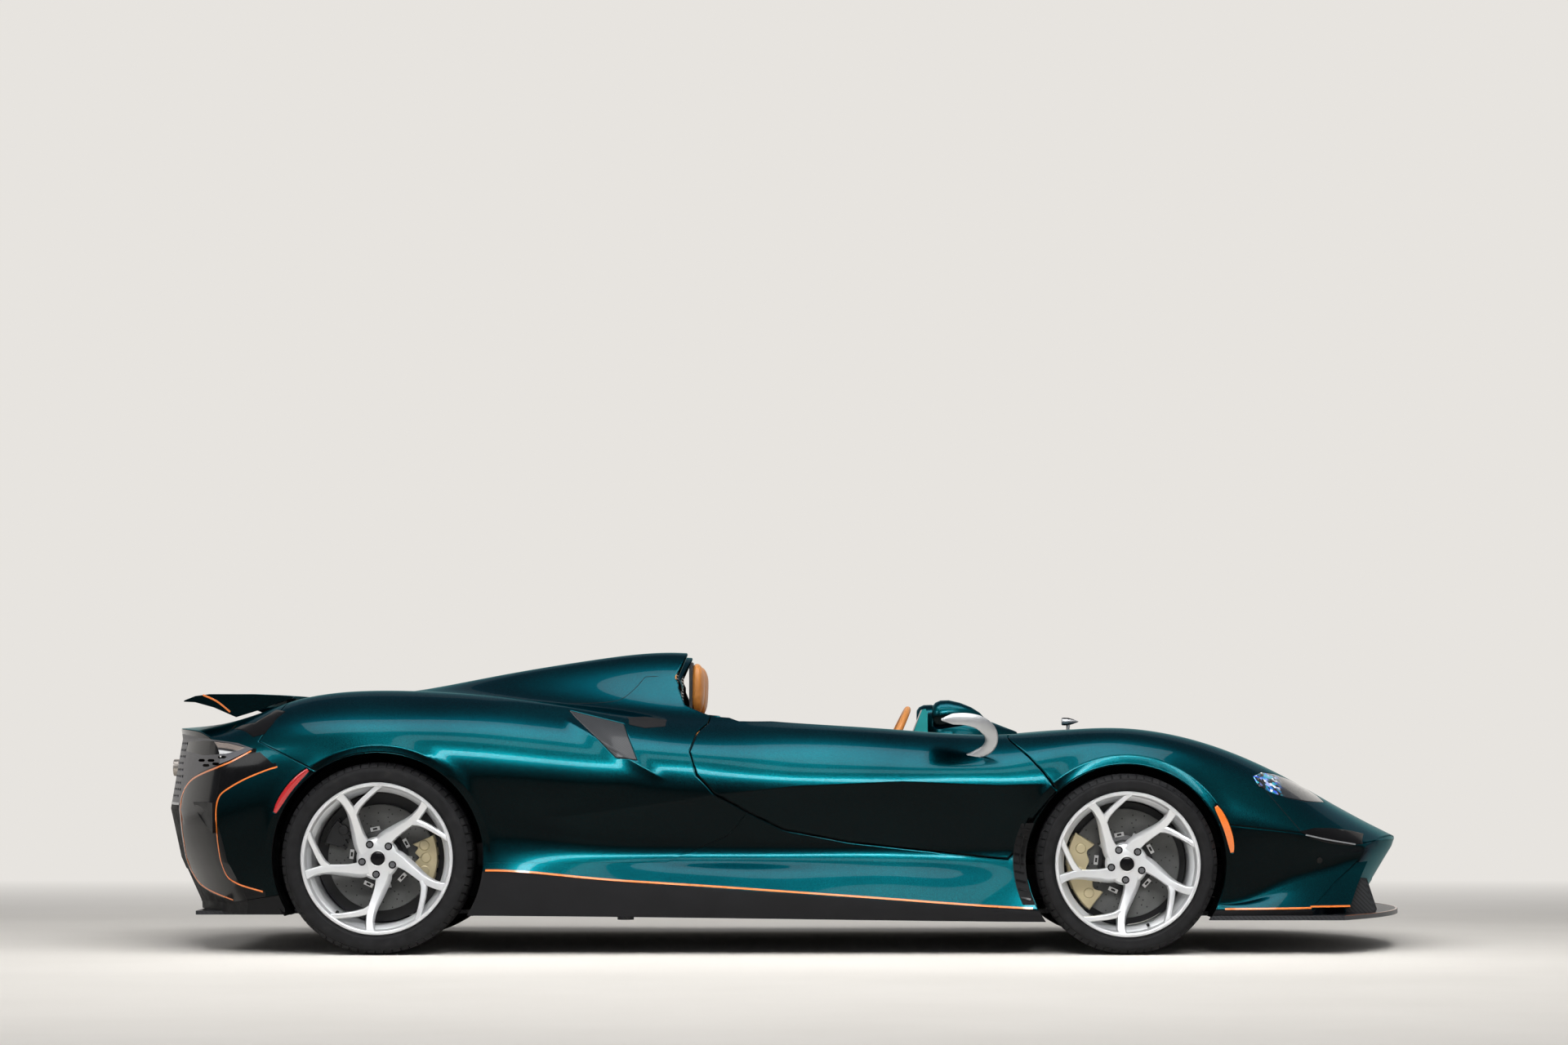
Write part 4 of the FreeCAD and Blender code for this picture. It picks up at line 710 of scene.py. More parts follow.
def inset(flat, distance):
    """Loop moved into the panel by a distance along the skin."""
    point = skin(flat[:, 0], flat[:, 1])
    normal, along, over = skin_frame(flat[:, 0], flat[:, 1])
    ahead = np.roll(point, -1, 0) - point
    ahead /= np.maximum(np.linalg.norm(ahead, axis=1, keepdims=True), 1e-9)
    in_next = np.cross(normal, ahead)
    in_before = np.roll(in_next, 1, 0)
    both = in_next + in_before
    share = 1 + (in_next * in_before).sum(1, keepdims=True)
    mitre = both / np.maximum(share, 0.35)
    return flat + to_flat(along, over, mitre * distance)


def inside(loops, spots):
    """Even-odd test of spots against the loops."""
    odd = np.zeros(len(spots), bool)
    x, y = spots[:, 0], spots[:, 1]
    for loop in loops:
        a, b = loop, np.roll(loop, -1, 0)
        for (ax, ay), (bx, by) in zip(a, b):
            if ay == by:
                continue
            crosses = (ay > y) != (by > y)
            odd ^= crosses & (x < (bx - ax) * (y - ay) / (by - ay) + ax)
    return odd


def sheet_over(loops, extra, step_u, step_t, margin, guides=()):
    """Triangles that fill the loops, through extra points, along guide lines and on an even grid."""
    every = np.concatenate(loops)
    low, high = every.min(0), every.max(0)
    rim_tree = KDTree(len(every))
    for k, p in enumerate(every):
        rim_tree.insert((p[0], p[1], 0), k)
    rim_tree.balance()
    kept, links = [], []
    for guide in guides:
        if (guide.max(0) < low).any() or (guide.min(0) > high).any():
            continue
        fits = inside(loops, guide)
        fits &= np.array([rim_tree.find((p[0], p[1], 0))[2] > 5.0 for p in guide])
        for k, p in enumerate(guide):
            if fits[k]:
                if k and fits[k - 1]:
                    links.append((len(kept) - 1, len(kept)))
                kept.append(p)
    first = len(every) + len(extra)
    extra = np.concatenate([extra, kept]) if kept else extra
    grid = np.stack(np.meshgrid(np.arange(low[0], high[0], step_u), np.arange(low[1], high[1], step_t),
                                indexing="ij"), axis=-1).reshape(-1, 2)
    near = KDTree(len(every) + len(extra))
    for k, p in enumerate(np.concatenate([every, extra]) if len(extra) else every):
        near.insert((p[0], p[1], 0), k)
    near.balance()
    grid = grid[inside(loops, grid)]
    grid = grid[[near.find((p[0], p[1], 0))[2] > margin for p in grid]] if len(grid) else grid
    points = np.concatenate([every, extra, grid]) if len(extra) else np.concatenate([every, grid])
    edges = []
    start = 0
    for loop in loops:
        n = len(loop)
        edges += [(start + k, start + (k + 1) % n) for k in range(n)]
        start += n
    edges += [(first + a, first + b) for a, b in links]
    made = delaunay_2d_cdt([Vector(p) for p in points], edges, [], 0, 1e-5)
    spots = np.array([v[:] for v in made[0]])
    triangles = np.array(made[2])
    middle = spots[triangles].mean(1)
    triangles = triangles[inside(loops, middle)]
    origin = [list(o) for o in made[3]]
    which = np.array([min(o) if o else -1 for o in origin])
    return spots, triangles, which, len(every)


NOSE_FACE = ((50, 165, 251, 370, 399, 1300), (-105, -105, -82, -10, 0, 0), 1497.0, 2295.0 - 1497.0)
TAIL_FACE = ((50, 176, 330, 510, 768, 812, 1300), (-116, -109, -40, 0, -42, -36, -36), 1586.0,
             1586.0 - 2305.5)
SKIRT_SEAM = np.array([(-1100, 326), (-420, 326), (-200, 420), (-100, 540), (640, 540), (900, 326),
                       (1010, 326)], float)


def on_end_face(points):
    """Which points lie on the bowed nose face or tail face."""
    on = np.zeros(len(points), bool)
    for heights, steps, radius, centre in (NOSE_FACE, TAIL_FACE):
        reach = np.hypot(points[:, 0] - centre, points[:, 1])
        ahead = points[:, 0] > 0 if centre > 0 else points[:, 0] < 0
        on |= ahead & (np.abs(reach - radius - np.interp(points[:, 2], heights, steps)) < 1.2)
    return on


def near_seam(points, line, reach=3.5):
    """Which points lie on a seam that is drawn in side view."""
    spots = points[:, [0, 2]]
    close = np.full(len(spots), 1e9)
    for a, b in zip(line, line[1:]):
        run = b - a
        share = np.clip(((spots - a) @ run) / (run @ run), 0, 1)
        close = np.minimum(close, np.linalg.norm(spots - a - share[:, None] * run, axis=1))
    return close < reach


def flank_spots(line):
    """(u, t) of the right flank seen at the (x, z) points of a side-view line."""
    line = np.asarray(line, float)
    u, t = line[:, 0].copy(), np.full(len(line), -900.0)
    for _ in range(16):
        point = skin(u, t)
        _, along, over = skin_frame(u, t)
        det = along[:, 0] * over[:, 2] - over[:, 0] * along[:, 2]
        dx, dz = line[:, 0] - point[:, 0], line[:, 1] - point[:, 2]
        u = u + np.clip((dx * over[:, 2] - dz * over[:, 0]) / det, -80, 80)
        t = np.clip(t + np.clip((dz * along[:, 0] - dx * along[:, 2]) / det, -50, 50), ROWS[0] + 0.5, -560)
    return np.stack([u, t], axis=1)


QUARTER_LINE = [(-1905, 724), (-1992, 680), (-2104, 641), (-2154, 618), (-2186, 588), (-2206, 547),
                (-2206, 497),
                (-2205, 415), (-2197, 344), (-2181, 289), (-2143, 243), (-2084, 217), (-1980, 190)]
INNER_LINE = [(-1806, 668), (-1853, 653), (-1930, 621), (-1998, 582), (-2021, 556), (-2030, 518),
              (-2030, 470),
              (-2027, 394), (-2015, 323), (-1992, 273), (-1942, 247), (-1859, 223)]
BLACK_ZONE = np.array([(-1898, 735), (-2320, 800), (-2320, 150), (-1850, 150), (-1850, 221)]
                      + eased(INNER_LINE, 8).tolist()[::-1], float)
SHOULDER_FOLD = ((-860, 492, 0, 30, 25), (-783, 490, 3, 40, 35), (-515, 529, 9, 88, 45),
                 (-247, 569, 11, 110, 45),
                 (44, 598, 11, 110, 45), (426, 613, 11, 110, 45), (774, 600, 9, 100, 45),
                 (964, 607, 0, 60, 40))
INTAKE_FOLD = ((-790, 838, 0, 30, 30), (-765, 823, 5, 45, 45), (-529, 680, 7, 45, 45),
               (-420, 619, 0, 30, 30))
HAUNCH_FOLD = ((-1062, 919, 0, 30, 30), (-773, 874, 5, 35, 40), (-422, 812, 0, 30, 30))
FOLDS = (SHOULDER_FOLD, INTAKE_FOLD, HAUNCH_FOLD)
ARCH_LIPS = ((*FRONT_HUB, 387.0), (*REAR_HUB, 402.0))
LIP_RISE = 5.0
WIDEST = 973.2


def relief(points):
    """How far the folds and the arch lips stand out of the plain skin at each point, in millimetres."""
    x, y, z = points.T
    rise = np.zeros(len(points))
    for fold in FOLDS:
        xs, zs, tops, above, below = np.array(fold, float).T
        off = z - np.interp(x, xs, zs)
        reach = np.where(off > 0, np.interp(x, xs, above), np.interp(x, xs, below))
        top = np.interp(x, xs, tops, left=0.0, right=0.0)
        rise = np.maximum(rise, top * np.clip(1 - np.abs(off) / reach, 0, 1) ** 2)
    for hub_x, hub_z, lip in ARCH_LIPS:
        off = np.hypot(x - hub_x, z - hub_z) - lip
        reach = np.where(off > 0, 42.0, 26.0)
        low_fade = np.clip((z - 330) / 90, 0, 1)
        rise = np.maximum(rise, LIP_RISE * low_fade * np.clip(1 - np.abs(off) / reach, 0, 1) ** 2)
    on_flank = np.clip((np.abs(y) - 690) / 50, 0, 1)
    return np.clip(rise * on_flank, 0, np.maximum(WIDEST - np.abs(y), 0))


def fold_lines():
    """Guide lines in (u, t) along the folds, the lips and the black zone's edge, on both flanks."""
    lines = [eased(INNER_LINE, 8)]
    for fold in FOLDS:
        nodes = np.array(fold, float)
        x = np.arange(nodes[0, 0], nodes[-1, 0], 12.0)
        lines += [np.stack([x, np.interp(x, nodes[:, 0], nodes[:, 1]) + step], axis=1)
                  for step in (-4, 0, 4)]
    turn = np.radians(np.arange(4, 177, 2.0))
    for hub_x, hub_z, lip in ARCH_LIPS:
        lines += [np.stack([hub_x + r * np.cos(turn), hub_z + r * np.sin(turn)], axis=1)
                  for r in (lip - 4, lip, lip + 4)]
    right = [flank_spots(line) for line in lines]
    return right + [spots * (1, -1) for spots in right]


GUIDES = fold_lines()


def painted_panel(name, body, shrink, finish, bed=None, split=None, zone=None):
    """One panel: a sheet on the skin over a core; past split (mm) or in zone it has the second finish."""
    points, faces = merged_copy(name)
    flat, far, normal = on_skin(points)
    outer = outer_faces(points, faces, far, normal)
    loops, blended = [], []
    for run in rim_loops(faces[outer]):
        loop = tidy_loop(flat[run])
        if len(loop) < 4:
            continue
        loop = spaced_loop(loop)
        plain = near_seam(skin(loop[:, 0], loop[:, 1]), SKIRT_SEAM)
        loops.append(inset(loop, np.where(plain, -0.2, shrink)[:, None]))
        blended.append(plain)
    blended = np.concatenate(blended)
    finishes = finish if isinstance(finish, tuple) else (finish,)
    piece = Piece(*finishes, bed or UNDERSIDE_AND_SHADE, UNDERSIDE_AND_SHADE)
    bed_mark, hidden_mark = len(finishes), len(finishes) + 1
    soft_rings = np.concatenate([inset(loop, 1.6) for loop in loops] + [inset(loop, 4.2) for loop in loops])
    soft_rings = soft_rings[inside(loops, soft_rings)]
    spots, triangles, which, rim = sheet_over(loops, soft_rings, 16.0, 12.0, 6.0, GUIDES)
    top_normal = skin_frame(spots[:, 0], spots[:, 1])[0]
    top = skin(spots[:, 0], spots[:, 1])
    edge = (which >= 0) & (which < rim)
    edge[edge] = ~blended[which[edge]]
    top = top + top_normal * (relief(top) - np.where(edge, EDGE_DROP, 0.0))[:, None]
    under_spots, under, under_which, _ = sheet_over(loops, np.zeros((0, 2)), 32.0, 24.0, 12.0)
    outward = skin_frame(under_spots[:, 0], under_spots[:, 1])[0]
    below = skin(under_spots[:, 0], under_spots[:, 1]) - outward * SHEET_THICKNESS
    start = {w: k for k, w in enumerate(which) if 0 <= w < rim}
    under_start = {w: k + len(top) for k, w in enumerate(under_which) if 0 <= w < rim}
    walls = []
    base = 0
    for loop in loops:
        n = len(loop)
        for k in range(n):
            a, b = base + k, base + (k + 1) % n
            if a in start and b in start and a in under_start and b in under_start:
                walls.append([start[b], start[a], under_start[a], under_start[b]])
        base += n
    shell_faces = triangles.tolist() + [[c + len(top) for c in t[::-1]] for t in under.tolist()] + walls
    sheet = np.concatenate([top, below])
    marks = np.zeros(len(shell_faces), int)
    if split is not None:
        marks = np.array([1 if sheet[f[0]][0] * split[0] > split[1] else 0 for f in shell_faces])
    if zone is not None:
        middles = np.array([sheet[f].mean(0) for f in shell_faces])
        marks = np.where(inside([zone], middles[:, [0, 2]]), 1, 0)
    piece.add(sheet, shell_faces, marks)
    core = points - normal * np.where(far < ON_SKIN, CORE_DEPTH, 0.0)[:, None]
    middle = points[faces].mean(1)
    spot, stand_off, _ = on_skin(middle)
    below_sill = np.abs(spot[:, 1]) > ROWS[-1] - 1.0
    end_face = on_end_face(points)[faces].all(1) & on_end_face(middle * 0.5 + points[faces[:, 0]] * 0.5)
    hidden = ((stand_off > 2 * CORE_DEPTH) | (below_sill & ~outer)) & ~end_face
    core_marks = np.where(hidden, hidden_mark, bed_mark if bed else 0)
    piece.add(core, faces.tolist(), core_marks)
    piece.object(name + "_panel", body, (name,), sharp=38, settle=False)


for panel_name, (panel_body, panel_slot, panel_shrink, panel_finish) in PANELS.items():
    painted_panel(panel_name, panel_body, panel_shrink, panel_finish)
painted_panel("rear_quarters", "root", 1.1, (PAINT, GLOSS_BLACK), bed=GLOSS_BLACK, zone=BLACK_ZONE)
painted_panel("front_lamps", "root", 0.8, (LAMP_GLASS, AMBER_LENS), bed=GLOSS_BLACK,
              split=(-1, -1660))
painted_panel("rear_lamps", "root", 0.8, (TAIL_GLASS, RED_LENS), bed=GLOSS_BLACK,
              split=(1, -1860))


# Repeated small forms, set on points by geometry nodes
def repeat_tree(name, shape, finish):
    """Tree that sets one small form on every point, turned by the point's own angles."""
    tree = bpy.data.node_groups.new(name, "GeometryNodeTree")
    tree.interface.new_socket("Geometry", in_out="INPUT", socket_type="NodeSocketGeometry")
    sizes = {"block": ("Length", "Width", "Height"), "pin": ("Radius", "Height", "Sides")}[shape]
    for size_name in sizes:
        kind = "NodeSocketInt" if size_name == "Sides" else "NodeSocketFloat"
        tree.interface.new_socket(size_name, in_out="INPUT", socket_type=kind)
    tree.interface.new_socket("Geometry", in_out="OUTPUT", socket_type="NodeSocketGeometry")
    start = tree.nodes.new("NodeGroupInput")
    end = tree.nodes.new("NodeGroupOutput")
    if shape == "block":
        form = tree.nodes.new("GeometryNodeMeshCube")
        joined_size = tree.nodes.new("ShaderNodeCombineXYZ")
        for socket, size_name in zip(joined_size.inputs, sizes):
            wire(tree, start.outputs[size_name], socket)
        wire(tree, joined_size.outputs[0], form.inputs["Size"])
    else:
        form = tree.nodes.new("GeometryNodeMeshCylinder")
        wire(tree, start.outputs["Radius"], form.inputs["Radius"])
        wire(tree, start.outputs["Height"], form.inputs["Depth"])
        wire(tree, start.outputs["Sides"], form.inputs["Vertices"])
    angles = tree.nodes.new("GeometryNodeInputNamedAttribute")
    angles.data_type = "FLOAT_VECTOR"
    angles.inputs["Name"].default_value = "turn"
    to_turn = tree.nodes.new("FunctionNodeEulerToRotation")
    wire(tree, angles.outputs["Attribute"], to_turn.inputs[0])
    setter = tree.nodes.new("GeometryNodeInstanceOnPoints")
    wire(tree, start.outputs["Geometry"], setter.inputs["Points"])
    wire(tree, form.outputs["Mesh"], setter.inputs["Instance"])
    wire(tree, to_turn.outputs[0], setter.inputs["Rotation"])
    realised = tree.nodes.new("GeometryNodeRealizeInstances")
    wire(tree, setter.outputs["Instances"], realised.inputs["Geometry"])
    dressed = tree.nodes.new("GeometryNodeSetMaterial")
    dressed.inputs["Material"].default_value = finish
    wire(tree, realised.outputs["Geometry"], dressed.inputs["Geometry"])
    wire(tree, dressed.outputs["Geometry"], end.inputs["Geometry"])
    return tree


def repeated(name, shape, spots, turns, finish, body, sizes):
    """One piece with a small form on every spot (mm); turns are Euler angles in radians."""
    base = bpy.data.meshes.new(name + "_spots")
    base.from_pydata((np.asarray(spots, float) * MM).tolist(), [], [])
    turn = base.attributes.new("turn", "FLOAT_VECTOR", "POINT")
    turn.data.foreach_set("vector", np.asarray(turns, np.float32).ravel())
    carrier = bpy.data.objects.new(name + "_carrier", base)
    bpy.context.scene.collection.objects.link(carrier)
    modifier = carrier.modifiers.new("repeat", "NODES")
    tree = repeat_tree(name + "_repeat", shape, finish)
    modifier.node_group = tree
    for item in tree.interface.items_tree:
        if item.in_out == "INPUT" and item.name in sizes:
            modifier[item.identifier] = sizes[item.name]
    bpy.context.view_layer.update()
    depsgraph = bpy.context.evaluated_depsgraph_get()
    mesh = bpy.data.meshes.new_from_object(carrier.evaluated_get(depsgraph))
    bpy.data.objects.remove(carrier)
    made = bpy.data.objects.new(name, mesh)
    mesh.name = name
    mesh.polygons.foreach_set("use_smooth", np.ones(len(mesh.polygons), bool))
    mesh.set_sharp_from_angle(angle=math.radians(30))
    bpy.context.scene.collection.objects.link(made)
    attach(made, body)


# Wheels: drawn face up about Z, in millimetres, then set on their hubs
WHEELS = {}
for end_name, (hub_x, hub_z), hub_y, tyre_half, rim_r, disc_r in (
        ("front", FRONT_HUB, 836.5, 122.5, 259.0, 195.0), ("rear", REAR_HUB, 813.5, 152.5, 271.0, 190.0)):
    for side_name, side in (("right", -1), ("left", 1)):
        set_down = Matrix.Translation((hub_x, side * hub_y, hub_z)) @ Matrix.Rotation(
            math.radians(90 if side < 0 else -90), 4, "X")
        WHEELS[(end_name, side_name)] = (set_down, hub_z, tyre_half, rim_r, disc_r)
SPOKE_LINE = ((0.17, 147), (0.25, 138.5), (0.40, 128), (0.57, 121.5), (0.70, 119.3), (0.82, 119.4),
              (0.90, 120.2), (0.965, 121.2))
BRANCH_LINE = ((0.66, 118.2), (0.715, 113), (0.765, 106.5), (0.83, 98.8), (0.90, 92.6), (0.965, 87.6))
FACE_LINE = ((0.0, 50), (0.25, 49), (0.40, 45), (0.57, 37), (0.70, 29), (0.82, 20.5), (0.90, 14.5),
             (0.98, 10))
BOLT_ANGLE = 48.5


def face_height(share, half):
    shares, drops = zip(*FACE_LINE)
    return half - np.interp(share, shares, drops)


def polar(share, angle, rim_r):
    a = math.radians(angle)
    return share * rim_r * math.cos(a), share * rim_r * math.sin(a)


def spoke(line, rim_r, half, turn, tops, flanks, lee, depth):
    """One cast arm: a narrow bright ridge with a wide flank on one side and a steep one on the other."""
    eased_line = eased(np.array(line), 5)
    share = eased_line[:, 0]
    path = np.array([(*polar(s, a + turn, rim_r), face_height(s, half)) for s, a in eased_line])
    shares = [p[0] for p in line]
    top = np.interp(share, shares, tops)
    flank_out = np.interp(share, shares, flanks)
    back = np.interp(share, shares, depth)
    profiles = []
    for a, f, d in zip(top, flank_out, back):
        profiles.append([(-a - f, -0.62 * d), (-a - f * 0.93, -0.5 * d), (-a - 1.6, -1.6), (-a + 0.6, 0.0),
                         (0.0, 0.7), (a - 0.6, 0.0), (a + 1.4, -1.8), (a + lee, -0.5 * d), (a + lee, -d),
                         (-a - f * 0.8, -d)])
    return swept(path, np.array(profiles), (0, 0, 1))


def rim_piece(end_name, side_name):
    at, _, half, rim_r, _ = WHEELS[(end_name, side_name)]
    body = "wheel_%s_%s" % (end_name, side_name)
    piece = Piece(RIM_SILVER, GLOSS_BLACK, BLACK_PLASTIC_AND_SHADE, STEEL)
    lip = [(rim_r, half - 14), (rim_r, half - 9), (rim_r - 2, half - 6.5), (rim_r - 10, half - 6.5),
           (rim_r - 13, half - 9), (rim_r - 15, half - 16), (rim_r - 19, half - 44), (rim_r - 32, half - 58),
           (rim_r - 35, half - 66), (rim_r - 35, 30 - half), (rim_r - 16, 9 - half), (rim_r - 3, 8 - half),
           (rim_r, 10 - half), (rim_r, 14 - half), (rim_r - 9, 15 - half), (rim_r - 14, 44 - half),
           (rim_r - 30, 52 - half), (rim_r - 30, half - 70), (rim_r - 14, half - 44), (rim_r - 9, half - 15)]
    piece.add(*lathe(lip, 128), at=at)
    hub_face = half - 49.5
    hub = [(20, hub_face), (60, hub_face), (70, hub_face - 4), (77, hub_face - 14), (77, hub_face - 28),
           (20, hub_face - 28)]
    piece.add(*lathe(hub, 64), at=at)
    for k in range(5):
        turn = 72 * k
        piece.add(*spoke(SPOKE_LINE, rim_r, half, turn, (24, 20, 13, 11, 11, 10.5, 11.5, 14),
                         (10, 15, 16, 12, 8.5, 6.5, 5, 5), 3.5, (30, 34, 40, 40, 38, 34, 30, 26)), at=at)
        piece.add(*spoke(BRANCH_LINE, rim_r, half, turn, (9, 8.5, 7.5, 6.5, 6.5, 8), (4, 4, 4, 4, 4, 4), 4.0,
                         (32, 32, 32, 30, 26, 24)), at=at)
        web = [(0.655, 116.6), (0.715, 111.6), (0.735, 115.5), (0.70, 118.0)]
        outline = [polar(s, a + turn, rim_r) for s, a in web]
        piece.add(*raised(outline[::-1], face_height(0.72, half) - 18, face_height(0.71, half) - 2.5), at=at)
    piece.add(*lathe([(0, hub_face + 1), (22, hub_face + 1), (25.5, hub_face + 3), (22, hub_face + 5.2),
                      (10, hub_face + 6.6), (0, hub_face + 7)], 48), finish=1, at=at)
    piece.add(*lathe([(25.2, hub_face), (28.6, hub_face), (28.6, hub_face + 2.6), (27.2, hub_face + 3.6),
                      (25.2, hub_face + 2.6)], 48), finish=3, at=at)
    a = math.radians(-71 if end_name == "front" else 233)
    stem = Matrix.Translation((0.885 * rim_r * math.cos(a), 0.885 * rim_r * math.sin(a), half - 62))
    piece.add(*lathe([(0, 0), (6.5, 0), (5, 14), (3.6, 16), (3.6, 30), (0, 30)], 16), finish=2, at=at @ stem)
    piece.object("wheel_rim_%s_%s" % (end_name, side_name), body, ("rim_%s_%s" % (end_name, side_name),),
                 sharp=32)
    to_world = at.to_3x3().to_euler()
    bolts, recess = [], []
    for k in range(5):
        a = math.radians(BOLT_ANGLE + 72 * k)
        bolts.append(at @ Vector((57.15 * math.cos(a), 57.15 * math.sin(a), hub_face + 3.0)))
        recess.append(at @ Vector((57.15 * math.cos(a), 57.15 * math.sin(a), hub_face - 0.4)))
    turns = [tuple(to_world)] * 5
    # Dark rings round the bolts: painted shade in the bolt recesses of a flat hub face.
    repeated("wheel_bolt_seats_%s_%s" % (end_name, side_name), "pin", recess, turns, BLACK_PLASTIC_AND_SHADE, body,
             {"Radius": 0.0140, "Height": 0.0046, "Sides": 28})
    repeated("wheel_bolts_%s_%s" % (end_name, side_name), "pin", bolts, turns, DARK_STEEL, body,
             {"Radius": 0.0098, "Height": 0.0070, "Sides": 6})


def tyre_piece(end_name, side_name):
    at, radius, half, rim_r, _ = WHEELS[(end_name, side_name)]
    body = "wheel_%s_%s" % (end_name, side_name)
    middle = (rim_r + radius) / 2
    side_wall = [(rim_r - 9, half - 15, 0), (rim_r + 1.5, half - 13.5, 0), (rim_r + 6.5, half - 9, 0),
                 (rim_r + 9.5, half - 5.5, 0), (rim_r + 12, half - 4.5, 0), (rim_r + 13.5, half - 2.6, 0),
                 (middle - 4, half - 0.9, 0), (middle + 2, half - 0.6, 0), (middle + 8, half - 1.4, 0),
                 (radius - 19.5, half - 4.8, 0), (radius - 18.5, half - 3.6, 0),
                 (radius - 17, half - 5.2, 0),
                 (radius - 12, half - 9.5, 1), (radius - 6.5, half - 18, 1), (radius - 3.2, half - 26, 1)]
    tread = []
    outer_groove, inner_groove = 0.60 * half, 0.22 * half
    for centre in (outer_groove, inner_groove):
        tread += [(radius - 1.6, centre + 12, 1), (radius - 1.0, centre + 4.6, 0),
                  (radius - 7, centre + 3.4, 0),
                  (radius - 7, centre - 3.4, 0), (radius - 0.6, centre - 4.6, 0)]
    upper = side_wall + tread
    lower = [(r, -h, mark) for r, h, mark in reversed(upper)]
    line = upper + lower
    count = 68
    loops = []
    for k in range(count):
        for share, cut in ((0.0, 0), (0.80, 0), (0.84, 1), (0.96, 1)):
            a = 2 * math.pi * (k + share) / count
            loops.append([((r - 5.0 * cut * mark) * math.cos(a), (r - 5.0 * cut * mark) * math.sin(a), h)
                          for r, h, mark in line])
    piece = Piece(RUBBER)
    piece.add(*rings(loops, looped=True), at=at)
    piece.object("tyre_tread_%s_%s" % (end_name, side_name), body, ("tyre_%s_%s" % (end_name, side_name),),
                 sharp=40)


def disc_piece(end_name, side_name):
    at, _, half, _, disc_r = WHEELS[(end_name, side_name)]
    body = "wheel_%s_%s" % (end_name, side_name)
    piece = Piece(CERAMIC, BELL_BLACK_AND_SHADE, STEEL)
    low = -45
    for bottom, top in ((low, low + 13), (low + 21, low + 34)):
        piece.add(*lathe([(101, bottom + 1), (103, bottom), (disc_r - 1.5, bottom), (disc_r, bottom + 1.5),
                          (disc_r, top - 1.5), (disc_r - 1.5, top), (103, top), (101, top - 1)], 96), at=at)
    # Dark ring set back between the two plates: painted shade in the vent channel.
    piece.add(*lathe([(103, low + 13), (disc_r - 6, low + 13), (disc_r - 6, low + 21), (103, low + 21)], 72),
              finish=1, at=at)
    hat_top = half - 60
    piece.add(*lathe([(24, hat_top - 10), (24, hat_top), (60, hat_top), (74, hat_top - 3), (84, low + 42),
                      (100.6, low + 36), (100.6, low + 22), (80, low + 22), (68, hat_top - 12)], 72),
              finish=1, at=at)
    piece.add(*lathe([(0, 16 - half), (27, 16 - half), (27, hat_top - 2), (0, hat_top - 2)], 32), finish=2,
              at=at)
    piece.object("brake_disc_%s_%s" % (end_name, side_name), body, ("disc_%s_%s" % (end_name, side_name),),
                 sharp=32)
    holes, clips, dots, faced = [], [], [], []
    top = low + 34
    turn = at.to_3x3()
    # Dark pins through the disc at the drilled holes: painted shade in the holes.
    for k in range(20):
        for step, (r, bend) in enumerate(((118, 0), (131, 4.5), (146, 8), (160, 3.5), (174, 8.5),
                                          (183, 13.5))):
            if r < disc_r - 6 and (k + step) % 2 == 0 or step in (1, 3):
                a = math.radians(18 * k + bend)
                holes.append(at @ Vector((r * math.cos(a), r * math.sin(a), (low + top) / 2)))
    for k in range(10):
        a = math.radians(29.5 + 36 * k)
        where = Vector((104.5 * math.cos(a), 104.5 * math.sin(a), top + 1.6))
        clips.append(at @ where)
        dots.append(at @ (where + Vector((0, 0, 1.2))))
        faced.append(tuple((turn @ Matrix.Rotation(a + math.pi / 2, 3, "Z")).to_euler()))
    plain_turn = tuple(turn.to_euler())
    repeated("disc_holes_%s_%s" % (end_name, side_name), "pin", holes, [plain_turn] * len(holes),
             BELL_BLACK_AND_SHADE, body,
             {"Radius": 0.0027, "Height": 0.0344, "Sides": 10})
    repeated("disc_clips_%s_%s" % (end_name, side_name), "block", clips, faced, STEEL, body,
             {"Length": 0.034, "Width": 0.0145, "Height": 0.004})
    repeated("disc_clip_eyes_%s_%s" % (end_name, side_name), "block", dots, faced, BELL_BLACK_AND_SHADE, body,
             {"Length": 0.016, "Width": 0.0075, "Height": 0.0025})


def caliper_form(piece, at, disc_r, centre, finish=0, arc=46.0):
    """Monobloc caliper that straddles the disc: two cheeks, bridges and piston bosses."""
    low = -45
    for h0, h1 in ((low - 24, low - 4), (low + 38, low + 60)):
        outline = []
        for a in np.linspace(-arc / 2, arc / 2, 17):
            outline.append(((disc_r + 16) * math.cos(math.radians(a)),
                            (disc_r + 16) * math.sin(math.radians(a))))
        for a in np.linspace(arc / 2, -arc / 2, 25):
            wave = 7.0 * math.cos(math.radians(a / arc * 1080))
            r = disc_r - 58 + wave
            outline.append((r * math.cos(math.radians(a)), r * math.sin(math.radians(a))))
        turn = Matrix.Rotation(math.radians(centre), 4, "Z")
        loops = [[(x, y, h) for x, y in outline] for h in (h0, h1 - 5)]
        mid = np.mean(outline, axis=0)
        loops.append([(mid[0] + (x - mid[0]) * 0.93, mid[1] + (y - mid[1]) * 0.97, h1) for x, y in outline])
        piece.add(*rings(loops), finish=finish, at=at @ turn)
    for a in np.linspace(-arc * 0.42, arc * 0.42, 4 if arc > 30 else 2):
        bridge = [(disc_r + 4, low - 6), (disc_r + 17, low - 10), (disc_r + 17, low + 44),
                  (disc_r + 4, low + 40)]
        piece.add(*lathe(bridge, 3, centre + a - 4, 8), finish=finish, at=at)
    for a in np.linspace(-arc * 0.34, arc * 0.34, 3 if arc > 30 else 1):
        c = math.radians(centre + a)
        boss = Matrix.Translation(((disc_r - 26) * math.cos(c), (disc_r - 26) * math.sin(c), low + 56))
        piece.add(*lathe([(0, 0), (19, 0), (19, 4), (16, 7.5), (8, 8.5), (0, 8.5)], 28), finish=finish,
                  at=at @ boss)


